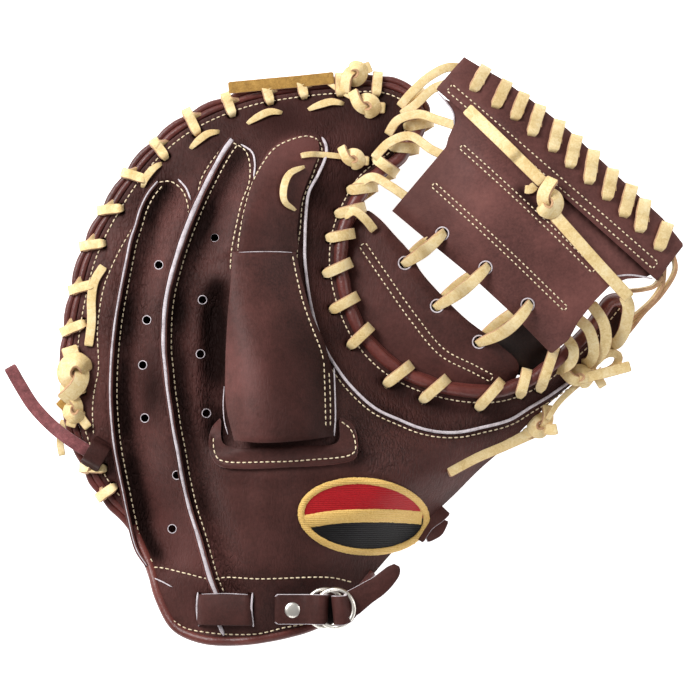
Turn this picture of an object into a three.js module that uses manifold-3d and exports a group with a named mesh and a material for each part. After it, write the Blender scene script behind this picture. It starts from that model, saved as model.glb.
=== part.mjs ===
// Catcher's mitt for the left hand, lying palm down with its back up.
// Millimetres, +Z up, +Y towards the finger tips, thumb and web on the +X side.
// The origin is the middle of the bounding box, on the surface that the mitt lies on.

import * as THREE from 'three';
import { mergeVertices } from 'three/addons/utils/BufferGeometryUtils.js';
import Module from 'manifold-3d';

const wasm = await Module();
wasm.setup();

// Driving dimensions
const gap = 0.3;
const cell = 16;
const leather = 3;
const laceWidth = 5;
const laceThick = 2;
const laceClear = 0.7;
const rimInset = 6.6;
const rollRadius = 1.55;
const rollInset = { outer: 1.55, inner: 4.3 };
const rollRise = { outer: 0.2, inner: 2 };
const flangeWidth = 13;
const plainLip = 4;
const padSlope = 20;
const padThickness = 15;
const pocket = { x: -15, y: 25, rise: 34, inner: 12, outer: 74 };
const finHeight = { pinky: 5, ring: 5, thumb: 2 };
const finWidth = 2.4;
const webThick = 3;
const bandThick = 2;
const strapWidth = 14;
const strapThick = 2.5;
const ringWire = 1.2;

// The edge of the mitt, clockwise seen from the back. backZ and palmZ are the heights of the
// joint face under the back leather and on top of the palm leather, which part at the wrist.
const rimColumns = ['x', 'y', 'backZ', 'palmZ'];
const lacedRim = [
  [-111.5, -89, 40, 40], [-125, -75, 41, 41], [-136, -56, 42, 42], [-144, -30, 44, 44],
  [-145, 0, 44, 44], [-141.5, 25, 44, 44], [-135, 50, 43, 43], [-122.5, 75, 42, 42],
  [-104.5, 100, 41, 41], [-83.5, 117.5, 40, 40], [-55, 130, 38, 38], [-30, 135, 38, 38],
  [-5, 137.5, 38, 38], [15, 138, 39, 39], [27, 134.5, 40, 40], [36, 128, 42, 42],
  [40, 120, 44, 44], [38, 111, 47, 47], [32, 101, 49, 49], [25, 92, 51, 51],
];
const crotchRim = [
  [18, 87, 52, 52], [11, 81, 54, 54], [5.5, 72, 55, 55], [1, 62, 57, 57], [-1.5, 50, 59, 59],
  [-1, 37.5, 60, 60], [2, 25, 61, 61], [6.5, 14, 62, 62], [13, 4.5, 62, 62], [22.5, -4.5, 62, 62],
  [34, -11, 62, 62], [46, -15, 62, 62], [60, -17.5, 61, 61], [75, -17, 59, 59], [90, -11, 57, 57],
  [104, -0.5, 54, 54], [115, 9.5, 51, 51], [122.5, 19, 48, 48], [129, 27, 46, 46],
];
const thumbRim = [
  [136, 27.5, 43, 43], [139, 19, 40, 40], [137, 7.5, 39, 39], [131, -1, 38, 38], [120, -11, 37, 37],
  [105, -23.5, 37, 37], [90, -37.5, 37, 37], [77.5, -50, 37, 37], [65, -61, 38, 38],
  [52.5, -73.5, 39, 38], [40, -85, 41, 37], [25, -98.5, 45, 34], [12.5, -112.5, 50, 30],
];
const wristRim = [
  [0, -127.5, 55, 26], [-15, -138.5, 59, 24], [-30, -143.5, 61, 24], [-55, -147.5, 61, 24],
  [-75, -146.5, 58, 25], [-89, -140, 53, 28], [-97.5, -125, 47, 33], [-102, -110, 43, 38],
];

// Height of the back over the hand at its crown, before it falls to the edge
const crownRows = [
  [-118, 20, 62], [-95, 85, 58], [-114, -40, 66], [-90, 40, 74], [-100, -80, 66], [-70, 90, 68],
  [-60, 40, 82], [-80, -30, 84], [-75, -90, 80], [-40, 108, 62], [-25, 85, 74], [-30, 40, 86],
  [-40, -20, 92], [-20, -70, 92], [-30, -115, 79], [-55, -147, 66], [0, -127, 62], [22, -78, 84],
  [10, -35, 92], [50, -45, 86], [90, -28, 74], [120, 2, 62], [132, 18, 52], [-95, -125, 54],
  [0, 10, 86], [-5, 108, 56],
];
// Height of the under side of the web, which arches between the index finger and the thumb
const webRows = [
  [22, 70, 64], [46, 101, 66], [50, 130, 62], [57, 147, 57], [115, 110, 60], [167, 50, 56],
  [60, 90, 76], [100, 60, 80], [80, 35, 79], [118, 22, 74], [100, 0, 67], [152, 36, 64],
];
const webBaseRows = [
  [5, 62, 54], [3, 25, 58], [22, -8, 59], [60, -20, 58], [85, -14, 55], [23, 57, 66],
  [42, 31, 72], [65, 10, 74], [83, -2, 68],
];

// The seams of the back, where the cut edges of two panels stand up as fins
const fins = {
  pinky: [
    [-96.5, 84.5], [-105, 71], [-107.5, 62.5], [-110, 55], [-114, 35], [-117.5, 15], [-119.5, -5],
    [-120, -25], [-118.5, -45], [-116.5, -60], [-111.5, -82.5], [-107, -100], [-101.5, -108.5],
  ],
  ring: [
    [-59.5, 105], [-68.5, 90], [-78, 70], [-85.5, 50], [-91, 30], [-93, 10], [-93, 0], [-91, -20],
    [-88, -40], [-83.5, -65], [-76, -92.5], [-69.5, -113], [-68, -119.5],
  ],
  thumb: [
    [-14, 106.5], [-12, 102.5], [-12, 97.5], [-20.5, 79], [-22.5, 55], [-20, 25], [-12, 0],
    [0, -17.5], [12.5, -29], [25, -35], [45, -41], [65, -39], [80, -35], [100, -23], [125, -6],
  ],
};
// How far each seam runs on past its fin before the panels part at the edge of the mitt
const seamStart = { pinky: [-114, 112], ring: [-50, 150], thumb: [-18, 160] };
const seamEnd = { pinky: [-125, -135], ring: [-62, -170], thumb: [165, 22] };

const outlines = {
  indexPad: [
    [-57, 49.4], [-55, 59], [-51.5, 74], [-47, 88], [-41, 99], [-34, 104.5], [-24, 107.5],
    [-17, 106.5], [-15.5, 100], [-19, 90], [-24, 77], [-26.5, 60], [-26.5, 49.4],
  ],
  hood: [
    [-58.5, 48.5], [-61, 15], [-62, -10], [-61, -30], [-57, -45], [-42.5, -46], [-25, -45],
    [-8.5, -43], [-8, -28], [-9, -9], [-15, 2], [-23, 23], [-26, 42], [-27, 48.5],
  ],
  fingerTab: [
    [-70, -43.5], [-68, -38], [-64.5, -34], [-63, -46.5], [-42.5, -48.5], [-25, -47.5], [-6, -45.5],
    [-5, -34], [1, -37], [3.5, -45], [2.5, -53.5], [-5, -56], [-25, -58], [-65, -57.5], [-69, -52],
  ],
  webPanel: [
    [21, 69.5], [37, 56], [62.5, 35], [81.5, 17.5], [100.5, -2], [109, 5], [114, 14.5], [122.5, 25],
    [129.5, 32], [138, 35.5], [147, 36], [151, 38], [105, 80], [57, 121], [46, 126], [49, 123],
    [51.5, 118], [52, 112.5], [49, 106], [48, 101.5],
  ],
  webBand: [[57, 146.5], [43, 130.5], [56, 119], [105, 77.5], [153.5, 34.5], [167, 52.5], [115, 101]],
  webBase: [
    [14, 66.5], [22.5, 57.5], [30, 49], [35, 40], [42.5, 31], [57.5, 16], [75, 2.5], [84.5, -7.5],
    [80, -18], [66, -23], [50, -21.5], [35, -17], [20, -9], [8, 2], [-1, 17], [-5, 37], [-3, 54],
    [2, 64], [8, 70],
  ],
  bandHollow: [[46, 126], [57, 117.5], [105, 76], [151, 34], [156, 41], [113, 84], [62, 134]],
};

// Whip lacing: each row is where a turn crosses the edge and the hole that it comes up through
const wrapColumns = ['edgeX', 'edgeY', 'holeX', 'holeY'];
const rimWraps = [
  [-126, -74, -118, -68.5], [-134.5, -59, -123, -59.5],
  [-144.3, -20, -133.5, -20], [-144, 9, -133, 13.5], [-140, 30, -128.5, 33],
  [-134.5, 52, -123.5, 53.5], [-125.5, 70, -114.5, 71],
  [-113.5, 89, -102.5, 85.5], [-98.5, 105, -92.5, 96.5],
  [-82, 120, -76.5, 108.5], [-62.5, 128, -59, 118], [-42.5, 133, -40, 124], [-25, 136, -23, 127],
  [-5, 138, -5, 128], [14, 138.5, 13, 127.8],
];
const crotchWraps = [
  [35.5, 129, 27, 123], [39, 114, 28, 112], [32, 101, 20.5, 102], [21.5, 89.5, 12.5, 96],
  [11, 81.5, -0.5, 80], [5, 71, -6.5, 68], [0, 58, -11, 56], [-1.4, 43, -12.5, 38], [2, 26, -9, 20],
  [9, 10.5, 0, 2], [29, -8.5, 18, -17], [47, -15.5, 36, -25], [74.5, -17.3, 64, -29], [88, -12, 85, -23],
  [103, -1.5, 103, -13.5], [118, 13, 119, 1],
];
const webTopWraps = [
  [68.5, 142, 60.5, 129], [79, 135, 71.5, 121], [87.5, 129, 82, 114.5], [95.5, 123, 90.5, 106.5],
  [105, 115.5, 101, 98.5], [113.5, 108, 109, 91], [122, 100.5, 119, 83], [131.5, 91, 128, 75],
  [141, 83, 136.5, 66.5], [147.5, 76, 145, 59], [159, 64, 154, 50],
];
// Eyelets along both sides of the web's window, tied across it in pairs
const eyelets = [
  { upper: [46, 58], lower: [27.5, 43.5] },
  { upper: [67.5, 41], lower: [43.5, 22] },
  { upper: [88.5, 22.5], lower: [64.5, 4] },
];
const eyeletRadius = 3.6;

// Vent holes down the two finger channels
const vents = [
  [-95.5, 42.5], [-101.5, 15], [-103.5, -7.5], [-102.5, -34], [-86.5, -62.5], [-89, -89.5],
  [-67.5, 56], [-73.5, 25], [-74.5, -2], [-71.5, -31.5],
];
const ventRadius = 2;

// Flat laces that are tacked over the back: points along each, in plan
const flatLaces = {
  tack_lace_a: [[-98.5, 88], [-93.5, 90.5], [-88, 92]],
  tack_lace_b: [[-80, 101.5], [-72, 106], [-65.5, 109.5]],
  tack_lace_c: [[-51.5, 114.5], [-43, 117], [-34.5, 117.5]],
  tack_lace_d: [[-21, 118], [-12, 120], [-3.5, 119.5]],
  index_loop_lace: [[-32, 70.5], [-33.5, 80], [-30, 87.5], [-22, 91]],
};
// Knots with their tails: where the knot sits, what it lies on, and the ends that leave it
const knots = {
  top_knot: {
    at: [1, 96], size: [6.5, 4, 3.5], lift: 0, tails: [[[-1, 96.5], [-11, 97], [-23.5, 97.5]]],
  },
  rim_tie: {
    at: [1, 138], size: [6, 5, 3.5], lift: 7.2, surface: 'rolls',
    tails: [[[-1, 137], [-31, 135], [-61, 132.5]]],
  },
  side_tie: {
    at: [-137.5, -8], size: [7, 10, 4], lift: 7.2, surface: 'rolls',
    tails: [[[-136, -4], [-131, 12], [-129.5, 25], [-125, 42]]],
  },
  thumb_knot: {
    at: [91, -36], size: [10, 5, 4], lift: 0, tails: [[[85, -39], [66, -46], [49, -60]]],
  },
  wrist_tie: { at: [42, -88], size: [6, 4, 3], lift: 0, tails: [[[43, -87], [46, -83], [47, -78]]] },
};
const webKnot = {
  at: [96.5, 75],
  size: [8, 9, 4.5],
  tails: [[[95, 77], [76, 94], [58, 112]], [[98, 72], [115, 51], [135, 30]]],
};

// Hardware and straps at the wrist
const rivetAt = [-28.5, -129.5];
const rings = [{ name: 'ring_a', x: -14.5, rise: 3.9 }, { name: 'ring_b', x: -12.3, rise: 6.6 }];
const ring = { wide: 17.5, reach: 13.5, corner: 5 };
const slots = [{ x: -75, y: -129, turn: 0 }, { x: -50, y: -129, turn: 0 }];
const patch = { x: 7, y: -83, rx: 33, ry: 19.5, turn: -0.09 };

// Small helpers

const rowsOf = (rows, columns) => rows.map((row) => (
  Object.fromEntries(columns.map((name, i) => [name, row[i]]))));
const clamp = (v, low, high) => Math.min(Math.max(v, low), high);
const smooth = (t) => { const u = clamp(t, 0, 1); return u * u * (3 - 2 * u); };
const vec = (x, y, z) => new THREE.Vector3(x, y, z);

function solve(matrix, values) {
  const n = values.length;
  const a = matrix.map((row, i) => [...row, values[i]]);
  for (let k = 0; k < n; k += 1) {
    let best = k;
    for (let i = k + 1; i < n; i += 1) if (Math.abs(a[i][k]) > Math.abs(a[best][k])) best = i;
    [a[k], a[best]] = [a[best], a[k]];
    for (let i = 0; i < n; i += 1) {
      if (i === k) continue;
      const f = a[i][k] / a[k][k];
      for (let j = k; j <= n; j += 1) a[i][j] -= f * a[k][j];
    }
  }
  return a.map((row, i) => row[n] / row[i]);
}

// Thin-plate surface through rows of x, y and height
function surfaceThrough(rows) {
  const kernel = (r2) => (r2 > 1e-9 ? 0.5 * r2 * Math.log(r2) : 0);
  const span = 100;
  const pts = rows.map(([x, y]) => [x / span, y / span]);
  const dist2 = (p, q) => (p[0] - q[0]) ** 2 + (p[1] - q[1]) ** 2;
  const top = pts.map((p) => [...pts.map((q) => kernel(dist2(p, q))), 1, p[0], p[1]]);
  const low = [0, 1, 2].map((k) => [...pts.map((p) => (k === 0 ? 1 : p[k - 1])), 0, 0, 0]);
  const w = solve([...top, ...low], [...rows.map((row) => row[2]), 0, 0, 0]);
  const n = rows.length;
  return (x, y) => {
    const p = [x / span, y / span];
    const bend = pts.reduce((sum, q, i) => sum + w[i] * kernel(dist2(p, q)), 0);
    return bend + w[n] + w[n + 1] * p[0] + w[n + 2] * p[1];
  };
}

function distanceToLine(x, y, line) {
  let best = Infinity;
  for (let i = 0; i + 1 < line.length; i += 1) {
    const [ax, ay] = line[i];
    const [bx, by] = line[i + 1];
    const [dx, dy] = [bx - ax, by - ay];
    const t = clamp(((x - ax) * dx + (y - ay) * dy) / (dx * dx + dy * dy), 0, 1);
    best = Math.min(best, Math.hypot(x - ax - t * dx, y - ay - t * dy));
  }
  return best;
}

function isInside(x, y, outline) {
  let inside = false;
  outline.forEach(([ax, ay], i) => {
    const [bx, by] = outline[(i + 1) % outline.length];
    if (ay > y !== by > y && x < ((bx - ax) * (y - ay)) / (by - ay) + ax) inside = !inside;
  });
  return inside;
}

// Points moved to the right of the way that the line runs
function shifted(points, distance, closed) {
  const n = points.length;
  return points.map(([x, y], i) => {
    const [ax, ay] = closed ? points[(i + n - 1) % n] : points[Math.max(i - 1, 0)];
    const [bx, by] = closed ? points[(i + 1) % n] : points[Math.min(i + 1, n - 1)];
    const length = Math.hypot(bx - ax, by - ay);
    return [x + (distance * (by - ay)) / length, y - (distance * (bx - ax)) / length];
  });
}

// Smooth curve through points of two or three numbers, sampled about every step
function curved(points, step, closed = false) {
  const curve = new THREE.CatmullRomCurve3(
    points.map(([x, y, z = 0]) => vec(x, y, z)), closed, 'centripetal');
  const count = Math.max(2, Math.round(curve.getLength() / step));
  const sampled = curve.getSpacedPoints(count);
  if (closed) sampled.pop();
  return sampled.map((p) => [p.x, p.y, p.z]);
}

function meshGeometry(vertices, faces) {
  const geometry = new THREE.BufferGeometry();
  geometry.setAttribute('position', new THREE.Float32BufferAttribute(vertices.flat(), 3));
  geometry.setIndex(faces.flat());
  return geometry;
}

function toSolid(geometry) {
  const plain = geometry.clone();
  plain.deleteAttribute('normal');
  plain.deleteAttribute('uv');
  const merged = mergeVertices(plain, 1e-4);
  return new wasm.Manifold(new wasm.Mesh({
    numProp: 3,
    vertProperties: new Float32Array(merged.attributes.position.array),
    triVerts: new Uint32Array(merged.index.array),
  }));
}

function toGeometry(solid) {
  const mesh = solid.getMesh();
  const geometry = new THREE.BufferGeometry();
  geometry.setAttribute('position', new THREE.Float32BufferAttribute(mesh.vertProperties, 3));
  geometry.setIndex(Array.from(mesh.triVerts));
  geometry.computeVertexNormals();
  return geometry;
}

const prismLow = -20;
const prismHigh = 140;
function prism(outline) {
  const shape = new THREE.Shape(outline.map(([x, y]) => new THREE.Vector2(x, y)));
  const geometry = new THREE.ExtrudeGeometry(
    shape, { depth: prismHigh - prismLow, bevelEnabled: false });
  return toSolid(geometry.translate(0, 0, prismLow));
}

const box = (x, y, turn, length, width) => [[-1, -1], [1, -1], [1, 1], [-1, 1]].map(([i, j]) => [
  x + Math.cos(turn) * i * length / 2 - Math.sin(turn) * j * width / 2,
  y + Math.sin(turn) * i * length / 2 + Math.cos(turn) * j * width / 2,
]);
const ellipse = (x, y, rx, ry, sides, turn = 0) => Array.from({ length: sides }, (_, i) => {
  const a = (i / sides) * 2 * Math.PI;
  const [u, v] = [rx * Math.cos(a), ry * Math.sin(a)];
  return [x + u * Math.cos(turn) - v * Math.sin(turn), y + u * Math.sin(turn) + v * Math.cos(turn)];
});

// A height that is worked out on a square lattice and runs straight between its nodes, so that
// sheets laid on one another keep the same facets and the same gap
function lattice(height) {
  const known = new Map();
  const node = (i, j) => {
    const key = `${i},${j}`;
    if (!known.has(key)) known.set(key, height(i * cell, j * cell));
    return known.get(key);
  };
  const at = (x, y) => {
    const i = Math.floor(x / cell);
    const j = Math.floor(y / cell);
    const u = x / cell - i;
    const v = y / cell - j;
    const [p, q] = [node(i, j), node(i + 1, j + 1)];
    return u > v
      ? p + (node(i + 1, j) - p) * (u - v) + (q - p) * v
      : p + (node(i, j + 1) - p) * (v - u) + (q - p) * u;
  };
  return { node, at };
}

// Everything between two lattice heights, over the box of an outline
function slab(outline, low, high) {
  const xs = outline.map((p) => p[0]);
  const ys = outline.map((p) => p[1]);
  const first = (values) => Math.floor(Math.min(...values) / cell - 0.01);
  const last = (values) => Math.ceil(Math.max(...values) / cell + 0.01);
  const [i0, i1, j0, j1] = [first(xs), last(xs), first(ys), last(ys)];
  const wide = i1 - i0 + 1;
  const deep = j1 - j0 + 1;
  const vertices = [];
  for (const surface of [low, high]) {
    for (let j = 0; j < deep; j += 1) {
      for (let i = 0; i < wide; i += 1) {
        vertices.push([(i0 + i) * cell, (j0 + j) * cell, surface(i0 + i, j0 + j)]);
      }
    }
  }
  const up = wide * deep;
  const id = (i, j) => j * wide + i;
  const faces = [];
  for (let j = 0; j + 1 < deep; j += 1) {
    for (let i = 0; i + 1 < wide; i += 1) {
      const [a, b, c, d] = [id(i, j), id(i + 1, j), id(i + 1, j + 1), id(i, j + 1)];
      faces.push([a, c, b], [a, d, c], [up + a, up + b, up + c], [up + a, up + c, up + d]);
    }
  }
  const wall = (a, b) => faces.push([a, b, up + b], [a, up + b, up + a]);
  for (let i = 0; i + 1 < wide; i += 1) {
    wall(id(i, 0), id(i + 1, 0));
    wall(id(i + 1, deep - 1), id(i, deep - 1));
  }
  for (let j = 0; j + 1 < deep; j += 1) {
    wall(id(wide - 1, j), id(wide - 1, j + 1));
    wall(id(0, j + 1), id(0, j));
  }
  return toSolid(meshGeometry(vertices, faces));
}

const sheet = (outline, low, high) => slab(outline, low, high).intersect(prism(outline));
const above = (surface, rise) => (i, j) => surface.node(i, j) + rise;

// The highest and lowest points of a surface near a place
function highest(surface, x, y, reachX, reachY = reachX) {
  const steps = [-1, -0.5, 0, 0.5, 1];
  return Math.max(...steps.flatMap((i) => steps.map((j) => surface(x + i * reachX, y + j * reachY))));
}
const lowest = (surface, ...place) => -highest((x, y) => -surface(x, y), ...place);

// A section swept along points. side gives the way that the section's first axis faces.
function sweep(points, side, section, closed = false) {
  const n = points.length;
  const m = section.length;
  const vertices = [];
  points.forEach((p, i) => {
    const before = points[closed ? (i + n - 1) % n : Math.max(i - 1, 0)];
    const after = points[closed ? (i + 1) % n : Math.min(i + 1, n - 1)];
    const along = vec(...after).sub(vec(...before)).normalize();
    const across = vec(...side(i, p));
    across.addScaledVector(along, -across.dot(along)).normalize();
    const out = along.clone().cross(across);
    for (const [u, v] of section) {
      vertices.push(vec(...p).addScaledVector(across, u).addScaledVector(out, v).toArray());
    }
  });
  const faces = [];
  const rings = closed ? n : n - 1;
  for (let i = 0; i < rings; i += 1) {
    for (let k = 0; k < m; k += 1) {
      const [a, b] = [i * m + k, i * m + ((k + 1) % m)];
      const [c, d] = [((i + 1) % n) * m + k, ((i + 1) % n) * m + ((k + 1) % m)];
      faces.push([a, b, d], [a, d, c]);
    }
  }
  if (!closed) {
    const caps = THREE.ShapeUtils.triangulateShape(
      section.map(([u, v]) => new THREE.Vector2(u, v)), []);
    const last = (n - 1) * m;
    for (const [a, b, c] of caps) faces.push([a, c, b], [last + a, last + b, last + c]);
  }
  return toSolid(meshGeometry(vertices, faces));
}

const flatSection = (width, thick) => [
  [-width / 2, -thick / 2], [width / 2, -thick / 2], [width / 2, thick / 2], [-width / 2, thick / 2],
];
const roundSection = (radius, sides) => ellipse(0, 0, radius, radius, sides);
const upright = () => [0, 0, 1];

// The forms of the mitt's two leathers

const rim = rowsOf([...lacedRim, ...crotchRim, ...thumbRim, ...wristRim], rimColumns);
const rimPoints = rim.map((row) => [row.x, row.y]);
const lacedLine = [...lacedRim, ...crotchRim];
const lacedCount = lacedRim.length + crotchRim.length;
const insetOf = (i, plain, wrist) => {
  if (i < lacedCount) return rimInset;
  return i < lacedCount + thumbRim.length ? plain : wrist;
};
const outlineOf = (plain, wrist) => rimPoints.map((_, i) => (
  shifted(rimPoints, insetOf(i, plain, wrist), true)[i]));
const backOutline = outlineOf(0.8, 5);
const palmOutline = outlineOf(4, 9);

const palmRim = surfaceThrough(rim.map((row) => [row.x, row.y, row.palmZ]));
const rimLift = surfaceThrough(rim.map((row) => [row.x, row.y, row.backZ - row.palmZ]));
const crown = surfaceThrough(crownRows);
const seamLines = Object.values(fins);

function backHeight(x, y) {
  const inside = isInside(x, y, rimPoints);
  const fromLaced = inside ? distanceToLine(x, y, lacedLine) : 0;
  const fromThumb = inside ? distanceToLine(x, y, thumbRim) : 0;
  const edge = palmRim(x, y) + Math.max(0, rimLift(x, y)) + gap + leather;
  const rise = Math.sin(clamp((fromLaced - flangeWidth) / 46, 0, 1) * Math.PI / 2)
    * Math.sin(clamp((fromThumb + 2) / 34, 0, 1) * Math.PI / 2);
  const dents = seamLines.map((line, i) => (
    (i < 2 ? 5 : 2.5) * Math.exp(-((distanceToLine(x, y, line) / 9) ** 2))));
  return edge + Math.max(0, crown(x, y) - edge) * rise - Math.max(...dents) * rise;
}

// How far inside the palm's lip a place is
function insidePalm(x, y) {
  if (!isInside(x, y, rimPoints)) return 0;
  const plainRim = [lacedLine.at(-1), ...thumbRim, ...wristRim, lacedLine[0]];
  const fromPlain = distanceToLine(x, y, plainRim) - plainLip;
  return Math.max(0, Math.min(distanceToLine(x, y, lacedLine) - flangeWidth, fromPlain));
}

function palmLow(x, y) {
  const edge = palmRim(x, y) - leather;
  const fromPocket = Math.hypot(x - pocket.x, y - pocket.y);
  const floor = pocket.rise * (1 - smooth((fromPocket - pocket.inner) / (pocket.outer - pocket.inner)));
  return Math.max(0, edge + (floor - edge) * smooth(insidePalm(x, y) / padSlope));
}

function palmHigh(x, y) {
  const thick = leather + (padThickness - leather) * smooth(insidePalm(x, y) / padSlope);
  return Math.min(palmLow(x, y) + thick, palmRim(x, y));
}

const back = lattice(backHeight);
const palmTop = lattice(palmHigh);
const palmBottom = lattice(palmLow);
const rimHeight = lattice(palmRim);
const webLow = lattice(surfaceThrough(webRows));
const webBaseShape = surfaceThrough(webBaseRows);
const webBaseTop = lattice((x, y) => (
  Math.min(webBaseShape(x, y), palmRim(x, y) - leather - 1.5)));

// Materials

const material = (color, roughness, metalness = 0) => (
  new THREE.MeshStandardMaterial({ color, roughness, metalness }));
const looks = {
  leather: material(0x4a2f2c, 0.5),
  welt: material(0x6a3531, 0.42),
  cutEdge: material(0xcfc3cc, 0.85),
  lace: material(0xecd49a, 0.6),
  suede: material(0x8a4a4a, 0.9),
  steel: material(0xe6e2da, 0.22, 1),
  cloth: material(0xa8242c, 0.85),
};

const mitt = new THREE.Group();
const placed = [];
function place(name, solid, look) {
  const mesh = new THREE.Mesh(toGeometry(solid), looks[look]);
  mesh.name = name;
  mitt.add(mesh);
  placed.push(solid);
}
// Lets a piece down until it lies one gap above what is under it
function settled(solid) {
  const step = 0.1;
  const limit = 4;
  const near = placed.filter((other) => {
    const [a, b] = [solid.boundingBox(), other.boundingBox()];
    return [0, 1].every((k) => a.max[k] > b.min[k] && b.max[k] > a.min[k]);
  });
  const isFree = (drop) => near.every((other) => (
    solid.translate([0, 0, -drop]).intersect(other).isEmpty()));
  let drop = 0;
  while (drop < limit && isFree(drop + gap)) drop += step;
  return drop < limit ? solid.translate([0, 0, -Math.max(0, drop - step)]) : solid;
}
const lay = (name, solid, look) => place(name, settled(solid), look);
const cut = (solid, tools) => tools.reduce((rest, tool) => rest.subtract(tool), solid);

// One turn of a whip lace: its way from the hole to the edge, and how much longer that way is
// than the shortest one
function turnsOf(wraps, edgeLine) {
  return rowsOf(wraps, wrapColumns).map((w) => {
    const reach = Math.hypot(w.edgeX - w.holeX, w.edgeY - w.holeY);
    const slant = reach / distanceToLine(w.holeX, w.holeY, edgeLine);
    const off = (2.4 + (laceWidth / 2) * Math.sqrt(Math.max(0, slant ** 2 - 1))) * slant;
    const [ux, uy] = [(w.edgeX - w.holeX) / reach, (w.edgeY - w.holeY) / reach];
    return { ...w, reach, slant, off, ux, uy };
  });
}
const laceHole = (x, y, ux, uy) => (
  prism(box(x, y, Math.atan2(uy, ux), laceThick + 2, laceWidth + 1.8)));
const laceHoles = (turns) => turns.map((w) => laceHole(w.holeX, w.holeY, w.ux, w.uy));

// A lace whipped over an edge: up through a hole, over the edge, under it and on to the next hole.
// Its strands are joined to it where they leave a turn's outer side.
function whipLace(turns, edge, strands = []) {
  const half = laceThick / 2 + laceClear;
  const points = [];
  const sides = [];
  const outer = [];
  turns.forEach((w, i) => {
    const put = (inset, z) => {
      const along = inset < 0 ? -w.off : Math.min(inset * w.slant, w.reach);
      points.push([w.edgeX - w.ux * along, w.edgeY - w.uy * along, z]);
      sides.push([-w.uy, w.ux, 0]);
    };
    const level = edge.level(w.edgeX, w.edgeY);
    const lowest = level + edge.turn.at(-1)[1];
    put(w.reach, Math.min(edge.under(w.holeX, w.holeY) - half, lowest));
    put(w.reach, edge.over(w.holeX, w.holeY) + half);
    for (const [inset, rise] of edge.turn) put(inset, level + rise);
    outer.push(points.at(edge.outermost));
    const next = turns[i + 1];
    if (!next) return;
    const [x0, y0] = points.at(-1);
    const [x, y] = [(x0 + next.holeX) / 2, (y0 + next.holeY) / 2];
    points.push([x, y, Math.min(edge.under(x, y) - half, lowest)]);
    sides.push([-w.uy, w.ux, 0]);
  });
  const lace = sweep(points, (i) => sides[i], flatSection(laceWidth, laceThick));
  return strands.reduce((whole, { turn, way }) => {
    const line = [outer[turn], ...way];
    const side = [line.at(-1)[1] - line[0][1], line[0][0] - line.at(-1)[0], 0];
    return whole.add(sweep(line, () => side, flatSection(laceWidth - 1, laceThick)));
  }, lace);
}

const rimTurns = turnsOf(rimWraps, [...lacedRim, ...crotchRim]);
const crotchTurns = turnsOf(crotchWraps, [...lacedRim, ...crotchRim]);
const webTurns = turnsOf(webTopWraps, [[57, 146.5], [115, 101], [167, 52.5]]);

// Palm: one padded piece with a laced lip round it and a pocket that rises from the surface
const rimHoles = laceHoles(rimTurns);
const crotchHoles = laceHoles(crotchTurns);
place('palm_pad', cut(sheet(palmOutline, above(palmBottom, 0), above(palmTop, 0)),
  [...rimHoles, ...crotchHoles]), 'leather');

// Back: four panels of one shell, parted along the seams
const wristSlots = slots.map(({ x, y, turn }) => prism(box(x, y, turn, 6.5, strapWidth + 2)));
const fingerSlot = prism(ellipse(-35, -30, 17, 9, 14));
const ventHoles = vents.map(([x, y]) => prism(ellipse(x, y, ventRadius, ventRadius, 6)));
function seamBand(name, width) {
  const line = [seamStart[name], ...fins[name], seamEnd[name]];
  return prism([...shifted(line, width / 2), ...shifted(line, -width / 2).reverse()]);
}
const shell = cut(sheet(backOutline, above(back, -leather), above(back, 0)),
  [...rimHoles, ...crotchHoles, ...wristSlots, fingerSlot, ...ventHoles,
    ...Object.keys(fins).map((name) => seamBand(name, 2 * gap))]);
const middleX = (solid) => {
  const { min, max } = solid.boundingBox();
  return (min[0] + max[0]) / 2;
};
const panels = shell.decompose().sort((a, b) => b.volume() - a.volume()).slice(0, 4)
  .sort((a, b) => middleX(a) - middleX(b));
['pinky_panel', 'ring_channel', 'hand_panel', 'thumb_panel'].forEach((name, i) => (
  place(name, panels[i], 'leather')));

// Fins: the cut edges that stand up along the seams
const finLift = 0.5;
for (const [name, line] of Object.entries(fins)) {
  const tall = finHeight[name];
  const crest = curved(line, 9).map(([x, y]) => (
    [x, y, highest(back.at, x, y, 3) + finLift + tall / 2]));
  lay(`${name}_fin`, sweep(crest, upright, flatSection(tall, finWidth)), 'cutEdge');
}

// Index finger pad, the hood over the finger slot and the tab at the hood's mouth
place('index_pad', sheet(outlines.indexPad, above(back, gap), above(back, gap + 2)), 'leather');
const hoodArch = { middle: -36, half: 26, rise: 13, start: 46, length: 80 };
const hoodLift = lattice((x, y) => {
  const across = clamp((x - hoodArch.middle) / hoodArch.half, -1, 1);
  return hoodArch.rise * (1 - across * across) * smooth((hoodArch.start - y) / hoodArch.length);
});
const overHood = (rise) => (i, j) => back.node(i, j) + gap + hoodLift.node(i, j) + rise;
place('finger_hood', sheet(outlines.hood, overHood(0), overHood(2.4)), 'leather');
place('finger_tab', sheet(outlines.fingerTab, above(back, gap), above(back, gap + 4)), 'leather');

// Patch on the back of the hand
place('patch', sheet(ellipse(patch.x, patch.y, patch.rx, patch.ry, 20, patch.turn),
  above(back, gap), above(back, gap + 1.4)), 'cloth');

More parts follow.
